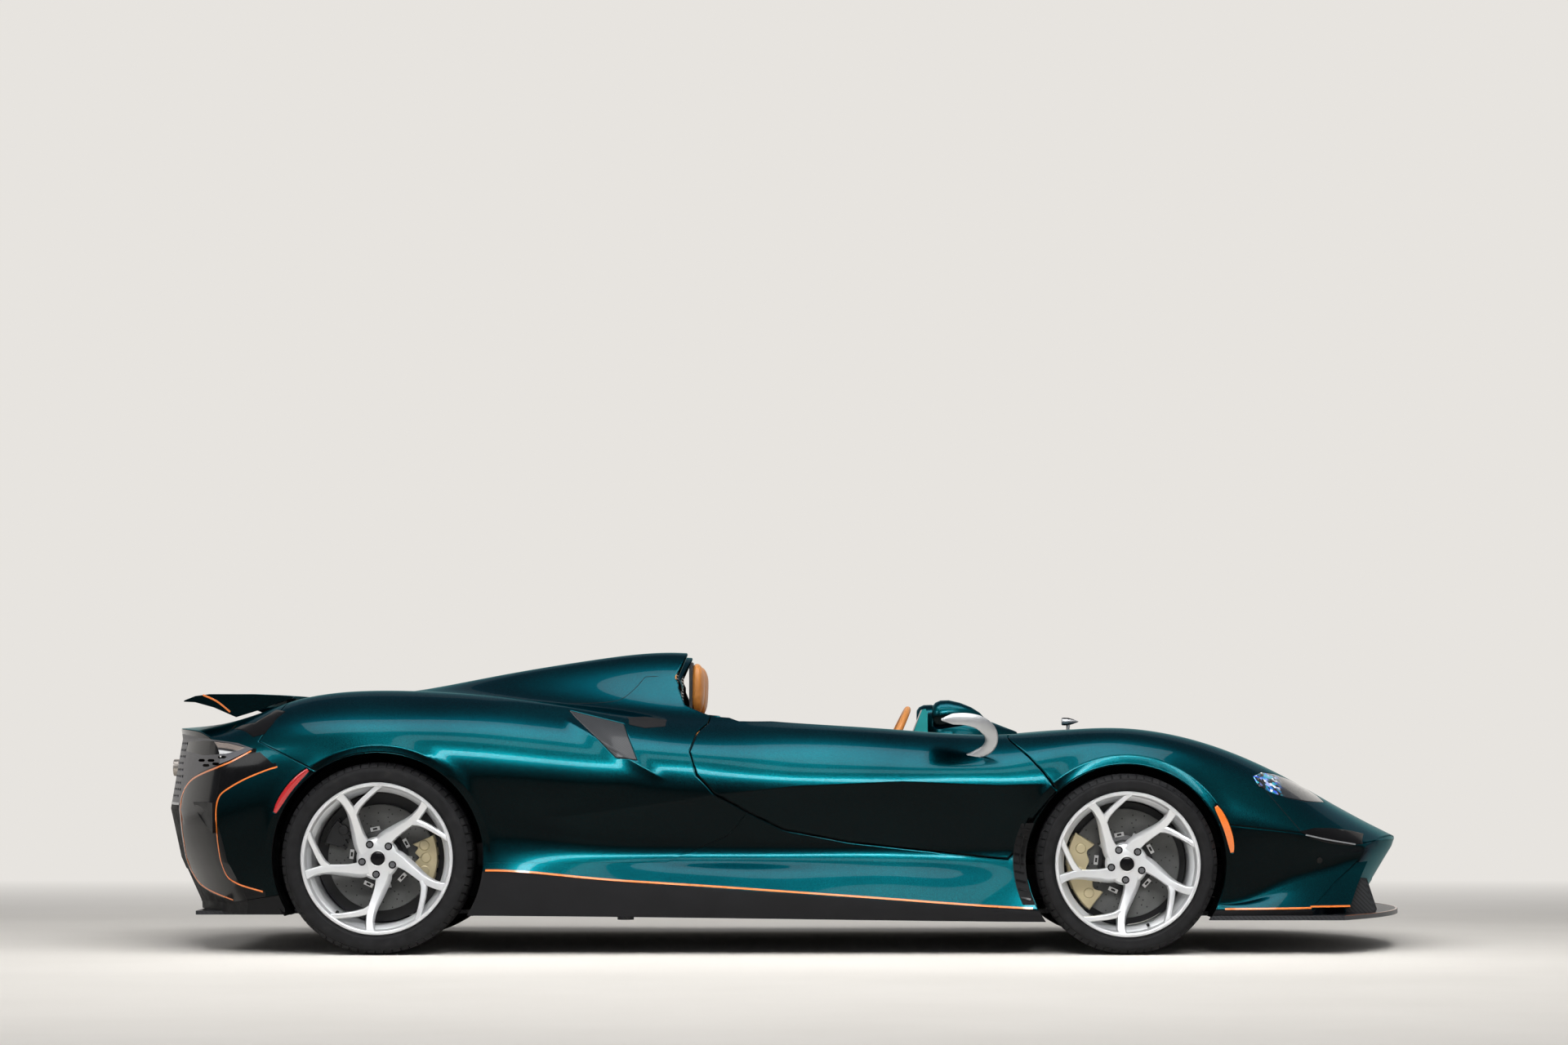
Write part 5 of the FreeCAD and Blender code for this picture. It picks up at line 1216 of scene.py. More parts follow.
for end_name, side_name in WHEELS:
    tyre_piece(end_name, side_name)
    rim_piece(end_name, side_name)
    disc_piece(end_name, side_name)
for side_name, side in (("right", 1), ("left", -1)):
    block_piece = Piece(GOLD)
    caliper_form(block_piece, WHEELS[("front", side_name)][0], 195.0, 190.0 * side, arc=84.0)
    block_piece.object("caliper_body_front_" + side_name, "steer_" + side_name,
                       ("caliper_front_" + side_name,),
                       corners=1.2)
rear_pair = Piece(GOLD, BELL_BLACK_AND_SHADE)
for side_name, side in (("right", 1), ("left", -1)):
    caliper_form(rear_pair, WHEELS[("rear", side_name)][0], 190.0, 0.0)
    caliper_form(rear_pair, WHEELS[("rear", side_name)][0], 190.0, 152.0 * side, finish=1, arc=26.0)
rear_pair.object("caliper_bodies_rear", "root", ("rear_calipers",), corners=1.2)


def shields_and_wells():
    """Thin shields behind the discs, and the inner walls that close the wheel wells above the tyres."""
    walls = Piece(BLACK_PLASTIC_AND_SHADE)
    for (end_name, side_name), (at, _, _, rim_r, _) in WHEELS.items():
        side = -1 if side_name == "right" else 1
        plate = Piece(BELL_BLACK_AND_SHADE)
        outer = rim_r - 40
        plate.add(*lathe([(62, -48.4), (outer, -48.4), (outer, -46.6), (62, -46.6)], 72), at=at)
        body = "steer_" + side_name if end_name == "front" else "root"
        plate.object("brake_shield_%s_%s" % (end_name, side_name), body, (), sharp=40)
        hub = at.translation
        inner_y, well_r = (541, 375.4) if end_name == "front" else (581, 390.4)
        outline = [(hub.x + well_r * math.cos(a), hub.z + well_r * math.sin(a))
                   for a in np.radians(np.linspace(8, 172, 50))]
        outline += [(hub.x + 215 * math.cos(a), hub.z + 215 * math.sin(a))
                    for a in np.radians(np.linspace(172, 8, 40))]
        walls.add(*flank(outline, side, inner_y, inner_y + 3.5))
    walls.object("wheel_well_walls", "root", (), sharp=35)


shields_and_wells()


# Spoiler, mirrors, cowl and cabin
def spoiler():
    """Blade with a turned-down end plate at each tip, a stripe along the plate and dark pylons."""
    piece = Piece(PAINT, STRIPE, CARBON)
    loops = []
    for y in np.linspace(-600, 600, 61):
        out = abs(y) / 600
        drop = max(0.0, (out - 0.90) / 0.10) ** 1.8
        lift = -4 * out ** 2
        line = [(-1800, 927), (-1850, 931), (-1950, 935), (-2108, 935), (-2160, 928), (-2200, 912),
                (-2202, 907),
                (-2160, 905), (-2092, 896 - 10 * drop), (-2010, 894 - 44 * drop), (-1926, 898 - 22 * drop),
                (-1850, 909 - 4 * drop), (-1806, 918)]
        loops.append([(x + 12 * out ** 4, y, z + lift) for x, z in line])
    piece.add(*rings(loops))
    for side in (-1, 1):
        strip = eased(np.array([(-2120, 928), (-2070, 905), (-2020, 866)]), 6)
        path = [(x, side * 600.4, z) for x, z in strip]
        piece.add(*swept(path, [(-0.8, -3.4), (0.8, -3.4), (0.8, 3.4), (-0.8, 3.4)], (0, 0, 1)), finish=1)
        lug = [(-1842, 882), (-1818, 882), (-1812, 915), (-1850, 915)]
        for inner, outer in ((290, 310), (335, 310)):
            piece.add(*flank(lug, side, inner, outer), finish=2)
    return piece.object("spoiler_blade", "spoiler", ("rear_spoiler",), corners=1.5)


def mirror(side):
    piece = Piece(PAINT, TRIM_METAL, MIRROR_GLASS)
    name = "right" if side < 0 else "left"
    nose = [(717, 842, 2), (700, 846, 16), (670, 850, 31), (630, 853, 44), (590, 854, 52), (560, 851, 54),
            (542, 848, 49), (532, 846, 38), (534, 846, 34), (541, 846, 31)]
    loops = []
    for x, z, r in nose:
        ring = []
        for k in range(40):
            a = 2 * math.pi * k / 40
            squash = 1.0 if math.sin(a) > 0 else 0.92
            ring.append((x, side * (866 + 1.05 * r * math.cos(a)), z + squash * r * math.sin(a)))
        loops.append(ring)
    piece.add(*rings(loops))
    glass = [[(542.5, side * (866 + 1.05 * r * math.cos(a)), 846 + r * math.sin(a))
              for a in np.linspace(0, 2 * math.pi, 32, endpoint=False)] for r in (30.5, 0.5)]
    glass.append([(541.0, y, z) for _, y, z in glass[0]])
    piece.add(*rings([glass[1], glass[0], glass[2]]), finish=2)
    arm = eased(np.array([(562, 921, 836), (604, 922, 838), (652, 921, 837), (700, 914, 824),
                          (734, 900, 794),
                          (742, 882, 760), (726, 862, 730), (688, 846, 711), (650, 838, 702)]), 7)
    share = np.linspace(0, 1, len(arm))
    widths = np.interp(share, [0, 0.12, 0.45, 0.7, 0.88, 1], [4, 20, 26, 22, 16, 9])
    thick = np.interp(share, [0, 0.2, 0.7, 1], [3, 5.5, 6.5, 6])
    profiles = [[(w * math.cos(a), t * math.sin(a)) for a in np.linspace(0, 2 * math.pi, 20, endpoint=False)]
                for w, t in zip(widths, thick)]
    path = [(x, side * y, z) for x, y, z in arm]
    piece.add(*swept(path, np.array(profiles), (0, side, 0.02)), finish=1)
    return piece.object("mirror_bullet_" + name, "door_" + name, ("mirror_" + name,),
                        sharp=40)


def steering_column():
    """Place of the steering wheel, with Z along the column."""
    ahead = Vector((math.cos(math.radians(25)), 0, -math.sin(math.radians(25))))
    side = Vector((0, 1, 0))
    turn = Matrix((side, ahead.cross(side), ahead)).transposed().to_4x4()
    return Matrix.Translation((405, 370, 722)) @ turn


COLUMN = steering_column()


def steering():
    at = COLUMN
    piece = Piece(TAN, DARK_LEATHER, GLOSS_BLACK, TEAL_TRIM)
    ring = []
    for k in range(96):
        a = 2 * math.pi * k / 96
        flat = 1 - 0.09 * max(0.0, -math.sin(a)) ** 6
        r = 175 * flat
        ring.append((r * math.cos(a), r * math.sin(a), 0.0))
    ring = np.array(ring)
    loops = []
    for k, p in enumerate(ring):
        out = Vector(p).normalized()
        grip = 16 * (1 + 0.06 * math.cos(4 * math.pi * k / 96))
        loops.append([(p[0] + out.x * grip * math.cos(b), p[1] + out.y * grip * math.cos(b),
                       grip * 0.86 * math.sin(b))
                      for b in np.linspace(0, 2 * math.pi, 18, endpoint=False)])
    piece.add(*rings(loops, looped=True), at=at)
    for a in (0, 180, 270):
        arm = Matrix.Rotation(math.radians(a), 4, "Z")
        path = [(44, 0, -2), (90, 0, 3), (130, 0, 4), (166, 0, 0)]
        wide = [22, 15, 14, 18]
        loops = [[(x, w, z + 5), (x, w * 0.6, z + 7), (x, -w * 0.6, z + 7), (x, -w, z + 5), (x, -w, z - 5),
                  (x, -w * 0.6, z - 7), (x, w * 0.6, z - 7), (x, w, z - 5)]
                  for (x, _, z), w in zip(path, wide)]
        piece.add(*rings(loops), finish=2, at=at @ arm)
    piece.add(*lathe([(0, -16), (38, -15), (50, -9), (54, 2), (52, 22), (30, 26), (0, 26)], 48), finish=1,
              at=at)
    piece.add(*lathe([(0, 26), (14, 26), (14, 77), (0, 77)], 24), finish=2, at=at)
    return piece.object("steering_wheel_ring", "steering_wheel", ("steering_wheel",),
                        sharp=40)


def cowl_hump():
    """Painted teardrop ahead of the driver's dials."""
    piece = Piece(PAINT)
    spine = [(558, 866, 32), (564, 869, 50), (590, 874, 84), (635, 873, 103), (680, 870, 108),
             (740, 855, 100),
             (800, 835, 80), (860, 812, 50), (901, 796, 15), (904, 790, 9)]
    loops = []
    for x, top, half in eased(np.array(spine), 4):
        base = 786 if x < 672 else 748
        ring = []
        for k in range(28):
            a = math.pi * k / 27
            rise = 748 + (top + 1.4 - 748) * math.sin(a) ** 0.8
            ring.append((x, 370 + (half + 1.8) * math.cos(a) * (1 + 0.02 * math.sin(a)), max(base, rise)))
        loops.append(ring + [(x, 370 - half * 0.9, base - 3), (x, 370 + half * 0.9, base - 3)])
    piece.add(*rings(loops))
    return piece.object("driver_cowl_hump", "root", (), sharp=50)


def bonnet_pod():
    piece = Piece(TRIM_METAL, GLOSS_BLACK)
    loops = [[(x, 17 * r * math.cos(a), 834 + 13.5 * r * math.sin(a))
              for a in np.linspace(0, 2 * math.pi, 24, endpoint=False)]
             for x, r in ((1053, 0.86), (1056, 1.0), (1075, 0.96), (1092, 0.72), (1108, 0.38), (1117, 0.08))]
    piece.add(*rings(loops))
    piece.add(*swept([(1074, 0, 738), (1076, 0, 800), (1080, 0, 828)], round_profile(6.5), (0, 1, 0)))
    return piece.object("bonnet_pod", "root", (), sharp=40)


spoiler()
mirror(-1)
mirror(1)
steering()
cowl_hump()
bonnet_pod()


# Lines and plates that lie on the skin
def flank_line(line, side):
    """Points and normals of a side-view line laid on the flank, or on the tail face behind it."""
    line = np.asarray(line, float)
    spots = flank_spots(line)
    point = skin(spots[:, 0], spots[:, 1])
    normal = skin_frame(spots[:, 0], spots[:, 1])[0]
    point = point + normal * relief(point)[:, None]
    heights, steps, radius, centre = TAIL_FACE
    reach = radius + np.interp(line[:, 1], heights, steps)
    behind = (np.hypot(point[:, 0] - centre, point[:, 1]) > reach) & (point[:, 0] < 0)
    out = np.sqrt(np.maximum(reach ** 2 - (line[:, 0] - centre) ** 2, 1.0))
    face_point = np.stack([line[:, 0], -out, line[:, 1]], axis=1)
    face_normal = np.stack([line[:, 0] - centre, -out, np.zeros(len(line))], axis=1) / reach[:, None]
    point = np.where(behind[:, None], face_point, point)
    normal = np.where(behind[:, None], face_normal, normal)
    flip = np.array([1.0, -side, 1.0])
    return point * flip, normal * flip


def ribbon(piece, points, normals, width, finish=0, lift=0.7, sink=1.2):
    """Flat line of even width on a surface."""
    half = width / 2
    piece.add(*swept(points, [(-half, -sink), (half, -sink), (half, lift), (-half, lift)], normals),
              finish=finish)


def skin_plate(piece, outline, lift, sink=1.5, finish=0, step=14.0):
    """Thin plate that follows the flank inside a side-view outline."""
    loop = flank_spots(outline)
    area = sum(a[0] * b[1] - b[0] * a[1] for a, b in zip(loop, np.roll(loop, -1, 0)))
    if area < 0:
        loop = loop[::-1]
    spots, triangles, which, rim = sheet_over([loop], np.zeros((0, 2)), step, step * 0.8, step * 0.4)
    normal = skin_frame(spots[:, 0], spots[:, 1])[0]
    base = skin(spots[:, 0], spots[:, 1])
    base = base + normal * relief(base)[:, None]
    start = {w: k for k, w in enumerate(which) if 0 <= w < rim}
    n, count = len(loop), len(spots)
    walls = [[start[(k + 1) % n], start[k], start[k] + count, start[(k + 1) % n] + count] for k in range(n)]
    faces = triangles.tolist() + [[c + count for c in t[::-1]] for t in triangles.tolist()] + walls
    points = np.concatenate([base + normal * lift, base - normal * sink])
    for side in (-1, 1):
        piece.add(points * (1, -side, 1), faces, finish=finish)


FAIRING_LINE = [(-462, 1070), (-486, 1030), (-512, 990), (-556, 940), (-604, 908), (-690, 898), (-780, 896)]


def pin_stripes():
    piece = Piece(STRIPE)
    for side in (-1, 1):
        for u0, u1 in ((-1062, 886), (1584, 2020)):
            u = np.linspace(u0, u1, 120)
            point, normal = skin(u, ROWS[0] + 4.5), skin_frame(u, ROWS[0] + 4.5)[0]
            ribbon(piece, point * (1, -side, 1), normal * (1, -side, 1), 7.5)
        for line, width in ((QUARTER_LINE, 6.5), (INNER_LINE, 5.5)):
            ribbon(piece, *flank_line(eased(line, 8), side), width)
    turn = np.radians(np.linspace(-36.5, 36.5, 140))
    edge = np.stack([798 + 1502.5 * np.cos(turn), 1502.5 * np.sin(turn), np.full(140, 138.2)], axis=1)
    ribbon(piece, edge, (0, 0, 1), 6.0, lift=0.5, sink=0.4)
    return piece.object("orange_pin_stripes", "root", (), sharp=40)


def skin_details():
    """Black openings drawn as dark plates of painted shade, louvres, cut lines and bright strips on the
    flanks.
    """
    piece = Piece(GLOSS_BLACK, UNDERSIDE_AND_SHADE, TRIM_METAL, BLACK_PLASTIC_AND_SHADE, CARBON)
    hub_x, hub_z = FRONT_HUB
    arch = [(hub_x - 357 * math.cos(a), hub_z + 357 * math.sin(a))
            for a in np.radians(np.linspace(-24, 24, 13))]
    vent = [(x - 1, z) for x, z in arch] + [(x - 46, z) for x, z in arch[::-1]]
    # Dark plate behind the louvres: painted shade in the vent.
    skin_plate(piece, vent, 0.9, 1.5, finish=3, step=12.0)
    for k in range(9):
        a = math.radians(-20 + 5 * k)
        x, z = hub_x - 362 * math.cos(a), hub_z + 362 * math.sin(a)
        for side in (-1, 1):
            slat = flank_line([(x - 3, z - 4), (x - 20, z), (x - 37, z + 4)], side)
            ribbon(piece, *slat, 7.0, finish=0, lift=4.0)
    # Dark plate in the scoop's mouth: painted shade of the opening.
    skin_plate(piece, [(-566, 843), (-500, 847), (-424, 836), (-428, 812), (-500, 806), (-556, 818)], 0.9,
               finish=1)
    # Dark plates at the nose's flank and at the tail, and a dark dot: painted shade of openings.
    skin_plate(piece, [(1846, 437), (1900, 448), (1985, 445), (2100, 424), (2088, 388), (2043, 384),
                       (1960, 392),
                       (1882, 412)], 0.9, finish=0)
    skin_plate(piece, [(-1985, 802), (-1903, 774), (-1862, 784), (-1795, 866), (-1832, 872), (-1905, 826),
                       (-1950, 818)], 0.9, finish=0)
    dot = [(1924 + 11 * math.cos(a), 332 + 11 * math.sin(a))
           for a in np.linspace(0, 2 * math.pi, 20, endpoint=False)]
    skin_plate(piece, dot, 1.2, finish=0, step=8.0)
    for side in (-1, 1):
        ribbon(piece, *flank_line(eased([(1866, 424), (1950, 406), (2058, 388)], 6), side), 5.0, finish=2,
               lift=3.0)
        ribbon(piece, *flank_line(eased(FAIRING_LINE, 6), side), 2.2, finish=1, lift=0.35)
        ribbon(piece, *flank_line(eased([(1692, 630), (1770, 530), (1850, 436)], 6), side), 2.2, finish=1,
               lift=0.35)
    return piece.object("flank_openings", "root", (), sharp=40)


def front_blades():
    """Painted blades ahead of the front wheels, past the nose's undercut."""
    piece = Piece(PAINT, STRIPE)
    heights, steps, radius, centre = NOSE_FACE
    z = np.linspace(163, 322, 12)
    x = np.full(12, 1900.0)
    reach = radius + np.interp(z, heights, steps)
    for _ in range(30):
        spots = flank_spots(np.stack([x, z], axis=1))
        x = centre + np.sqrt(reach ** 2 - skin(spots[:, 0], spots[:, 1])[:, 1] ** 2)
    rear = list(zip(x + 0.8, z))
    front = [(2112, 326), (2092, 290), (2062, 232), (2030, 164)]
    skin_plate(piece, rear + front, 0.0, 7.0, step=12.0)
    for side in (-1, 1):
        line = [(x, 168.5) for x in np.linspace(rear[0][0] - 4, 2031, 14)]
        ribbon(piece, *flank_line(line, side), 7.5, finish=1)
    return piece.object("front_blades", "root", (), sharp=40)


def bumper_fins():
    """Small wedge fins on the black flanks of the rear bumper."""
    piece = Piece(SATIN_BLACK)
    outline = [(-2136, 540), (-2080, 542), (-2034, 538), (-2032, 430), (-2062, 452), (-2104, 492)]
    stand = np.array([2.0, 12.0, 20.0, 14.0, 9.0, 4.0])
    for side in (-1, 1):
        base, normal = flank_line(outline, side)
        loops = [base - normal * 2.0, base + normal * stand[:, None]]
        piece.add(*rings(loops))
    return piece.object("bumper_fins", "root", (), sharp=30)


def fairing_fronts():
    """Bright perforated plates, with dark pins of painted shade on their holes, and edge trims that close
    the head fairings ahead of the seats.
    """
    piece = Piece(TRIM_METAL, TAN)
    spots, turns = [], []
    for side in (-1, 1):
        y = np.linspace(250, 612, 40)
        flat = np.stack([np.full(40, -392.0), np.interp(y, [250, 612], [-250, -760])], axis=1)
        for _ in range(25):
            point = skin(flat[:, 0], flat[:, 1])
            over = skin_frame(flat[:, 0], flat[:, 1])[2]
            flat[:, 1] = np.clip(flat[:, 1] + (-y - point[:, 1]) / over[:, 1], -1000, -100)
        top = skin(flat[:, 0], flat[:, 1])[:, 2] - 11.0
        outline = [(side * b, a) for b, a in zip(y, top)] + [(side * b, 872.0) for b in (600, 262)]
        loops = [[(x, b, a) for b, a in outline] for x in (-395.5, -398.5)]
        piece.add(*rings(loops))
        for b in np.arange(275, 605, 13.0):
            for k, a in enumerate(np.arange(884, 1070, 11.3)):
                shift = 6.5 if k % 2 else 0.0
                if a < np.interp(b + shift, y, top) - 12:
                    spots.append((-395.2, side * (b + shift), a))
                    turns.append((0.0, math.pi / 2, 0.0))
        normal = skin_frame(flat[:, 0] - 4, flat[:, 1])[0]
        path = skin(flat[:, 0] - 4, flat[:, 1]) - normal * 2.6
        flip = np.array([1.0, -side, 1.0])
        piece.add(*swept(path * flip, round_profile(2.4, 10, 0.8), normal * flip), finish=1)
    piece.object("fairing_grille_plates", "root", (), sharp=40)
    # Dark pins on the holes: painted shade behind the perforations.
    repeated("fairing_grille_hole_shade", "pin", spots, turns, UNDERSIDE_AND_SHADE, "root",
             {"Radius": 0.0036, "Height": 0.0012, "Sides": 8})


def tail_pieces():
    """Exhaust pipes with rolled lips and a dark disc of painted shade inside each, and the pale lip under
    the rear mesh.
    """
    piece = Piece(PIPE_METAL, UNDERSIDE_AND_SHADE, CAST)
    for y in (-70, 70):
        at = Matrix.Translation((-2302, y, 660)) @ Matrix.Rotation(math.pi / 2, 4, "Y")
        piece.add(*lathe([(28.6, 2), (30, 0), (31.4, 1.2), (31.9, 4), (31.9, 200), (29.2, 200),
                          (28.6, 190)], 64), at=at)
        # Dark disc set inside each pipe: painted shade deep in the pipe.
        piece.add(*lathe([(0, 120), (29.4, 120), (29.4, 124), (0, 124)], 32), finish=1, at=at)
    box = [(-2103, 594), (-2098, 756), (-1990, 756), (-1987, 594)]
    piece.add(*flank(box, 1, -178, 178), finish=2)
    piece.object("exhaust_pipes", "root", ("exhausts",), sharp=35)
    lip = Piece(TRIM_METAL)
    turn = np.radians(np.linspace(180 - 19, 180 + 19, 90))
    heights, steps, radius, centre = TAIL_FACE
    reach = radius + float(np.interp(530, heights, steps))
    path = np.stack([centre + reach * np.cos(turn), reach * np.sin(turn), np.full(90, 529.5)], axis=1)
    out = np.stack([np.cos(turn), np.sin(turn), np.zeros(90)], axis=1)
    lip.add(*swept(path, [(-5, -3), (5, -3), (5, 0.4), (0, 1.6), (-5, 0.4)], out))
    return lip.object("tail_lip", "root", (), sharp=40)


pin_stripes()
skin_details()
front_blades()
bumper_fins()
fairing_fronts()
tail_pieces()


# Cabin: padded seats, dashboard, console and door cards
def pillow(place, along, up, half, power=3.2, steps=26):
    """Closed cushion blank: a rounded box with its long axis along, its face towards up (mm)."""
    along, up = Vector(along).normalized(), Vector(up)
    up = (up - along * up.dot(along)).normalized()
    side = up.cross(along)
    loops = []
    for i in range(1, steps):
        a = -math.pi / 2 + math.pi * i / steps
        x = math.copysign(abs(math.sin(a)) ** (2 / power), math.sin(a)) * half[0]
        r = abs(math.cos(a)) ** (2 / power)
        ring = []
        for k in range(2 * steps):
            b = math.pi * k / steps
            y = math.copysign(abs(math.cos(b)) ** (2 / power), math.cos(b)) * half[1] * r
            z = math.copysign(abs(math.sin(b)) ** (2 / power), math.sin(b)) * half[2] * r
            ring.append(tuple(Vector(place) + along * x + side * y + up * z))
        loops.append(ring)
    return rings(loops)


SQUAB_RUN, SQUAB_UP = (-330, 0, -18), (0.05, 0, 1)
BACK_RUN, BACK_UP = (-52, 0, 420), (1, 0, 0.12)
SEAT_PADS = (
    ((-22, 345, 292), SQUAB_RUN, SQUAB_UP, (152, 118, 26)),
    ((-22, 483, 296), SQUAB_RUN, SQUAB_UP, (150, 14, 36)),
    ((-22, 207, 296), SQUAB_RUN, SQUAB_UP, (150, 14, 36)),
    ((-292, 345, 600), BACK_RUN, BACK_UP, (208, 112, 22)),
    ((-290, 478, 580), BACK_RUN, BACK_UP, (186, 16, 30)),
    ((-290, 212, 580), BACK_RUN, BACK_UP, (186, 16, 30)),
    ((-322, 345, 952), (0.02, 0, 1), (1, 0, 0.0), (94, 106, 24)))
CHANNELS = ((-135, 0), (-75, 0), (-15, 0), (45, 0), (0, 470), (0, 540), (0, 610), (0, 680), (0, 750))


def filled(name, points, faces, voxel=0.007, pressure=4.0, most=0.008):
    """Even mesh of the cushion blanks, blown up a little by a cloth run, as points in metres and faces."""
    scene = bpy.context.scene
    blank = bpy.data.meshes.new(name + "_blank")
    blank.from_pydata((np.asarray(points) * MM).tolist(), [], faces)
    worker = bpy.data.objects.new(name + "_blank", blank)
    scene.collection.objects.link(worker)
    even = worker.modifiers.new("even", "REMESH")
    even.mode = "VOXEL"
    even.voxel_size = voxel
    bpy.context.view_layer.update()
    mesh = bpy.data.meshes.new_from_object(worker.evaluated_get(bpy.context.evaluated_depsgraph_get()))
    worker.modifiers.clear()
    worker.data = mesh
    start = np.empty(len(mesh.vertices) * 3, np.float32)
    mesh.vertices.foreach_get("co", start)
    start = start.reshape(-1, 3).astype(float)
    out = start.copy()
    fill = worker.modifiers.new("fill", "CLOTH")
    fill.settings.use_pressure = True
    fill.settings.uniform_pressure_force = pressure
    fill.settings.effector_weights.gravity = 0.0
    fill.settings.quality = 5
    fill.settings.tension_stiffness = 12
    fill.settings.compression_stiffness = 12
    fill.settings.bending_stiffness = 0.4
    for number in range(1, 21):
        scene.frame_set(number)
    done = bpy.data.meshes.new_from_object(worker.evaluated_get(bpy.context.evaluated_depsgraph_get()))
    moved = np.empty(len(done.vertices) * 3, np.float32)
    done.vertices.foreach_get("co", moved)
    step = moved.reshape(-1, 3).astype(float) - start
    length = np.linalg.norm(step, axis=1, keepdims=True)
    out = start + step * np.minimum(1.0, most / np.maximum(length, 1e-9))
    scene.frame_set(1)
    quads = [list(f.vertices) for f in mesh.polygons]
    bpy.data.objects.remove(worker)
    return out, quads


def seats():
    points, faces, count = [], [], 0
    for place, along, up, half in SEAT_PADS:
        p, f = pillow(place, along, up, half)
        points.append(p)
        faces += [[v + count for v in face] for face in f]
        count += len(p)
    soft, quads = filled("seat_cushions", np.concatenate(points), faces)
    spot = soft / MM
    for x, z in CHANNELS:
        on_squab = (spot[:, 2] < 360) if z == 0 else (spot[:, 2] > 400) & (spot[:, 2] < 830)
        away = spot[:, 0] - x if z == 0 else spot[:, 2] - z
        middle = np.abs(spot[:, 1] - 345) < 118
        down = np.where(on_squab & middle, 5.0 * np.exp(-(away / 6.0) ** 2), 0.0)
        if z == 0:
            spot[:, 2] -= down * (spot[:, 2] > 292)
        else:
            spot[:, 0] -= down * (spot[:, 0] > -300 - 0.12 * (spot[:, 2] - 600))
    for name, side in (("left", 1), ("right", -1)):
        mesh = bpy.data.meshes.new("seat_cushions_" + name)
        placed = spot * (1, side, 1)
        mesh.from_pydata((placed * MM).tolist(), [], quads if side > 0 else turned_over(quads))
        mesh.materials.append(TAN)
        mesh.polygons.foreach_set("use_smooth", np.ones(len(mesh.polygons), bool))
        made = bpy.data.objects.new("seat_cushions_" + name, mesh)
        bpy.context.scene.collection.objects.link(made)
        finer = made.modifiers.new("finer", "SUBSURF")
        finer.levels = finer.render_levels = 1
        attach(made, "root")
        shell = Piece(CARBON, DARK_LEATHER, STEEL)
        outline = [(-418, 212), (-398, 182), (-64, 182), (138, 217), (142, 258), (60, 272), (-186, 232),
                   (-262, 300),
                   (-322, 420), (-352, 760), (-358, 846), (-368, 864), (-392, 800), (-420, 560)]
        shell.add(*flank(outline, side, 345 - 188, 345 + 188))
        for wing in (345 - 198, 345 + 188):
            cheek = [(-417, 214), (-398, 184), (-64, 184), (140, 220), (148, 290), (60, 322), (-150, 292),
                     (-238, 420),
                     (-276, 700), (-330, 800), (-392, 796), (-419, 560)]
            shell.add(*flank(cheek, side, wing, wing + 10))
        rest = [(-350, 842), (-350, 1030), (-343, 1050), (-336, 1050), (-338, 842)]
        shell.add(*flank(rest, side, 345 - 96, 345 + 96), finish=1)
        for strap_y in (300, 390):
            loops = [[(x, side * (strap_y + w), z) for w in (-23, 23)]
                     + [(x - 2.2, side * (strap_y + w), z) for w in (23, -23)]
                     for x, z in ((-300, 836), (-285, 800), (-268, 640), (-258, 480), (-250, 420))]
            shell.add(*rings(loops), finish=1)
        shell.object("seat_shell_" + name, "root", ("seat_" + name,), sharp=35, corners=2.0)


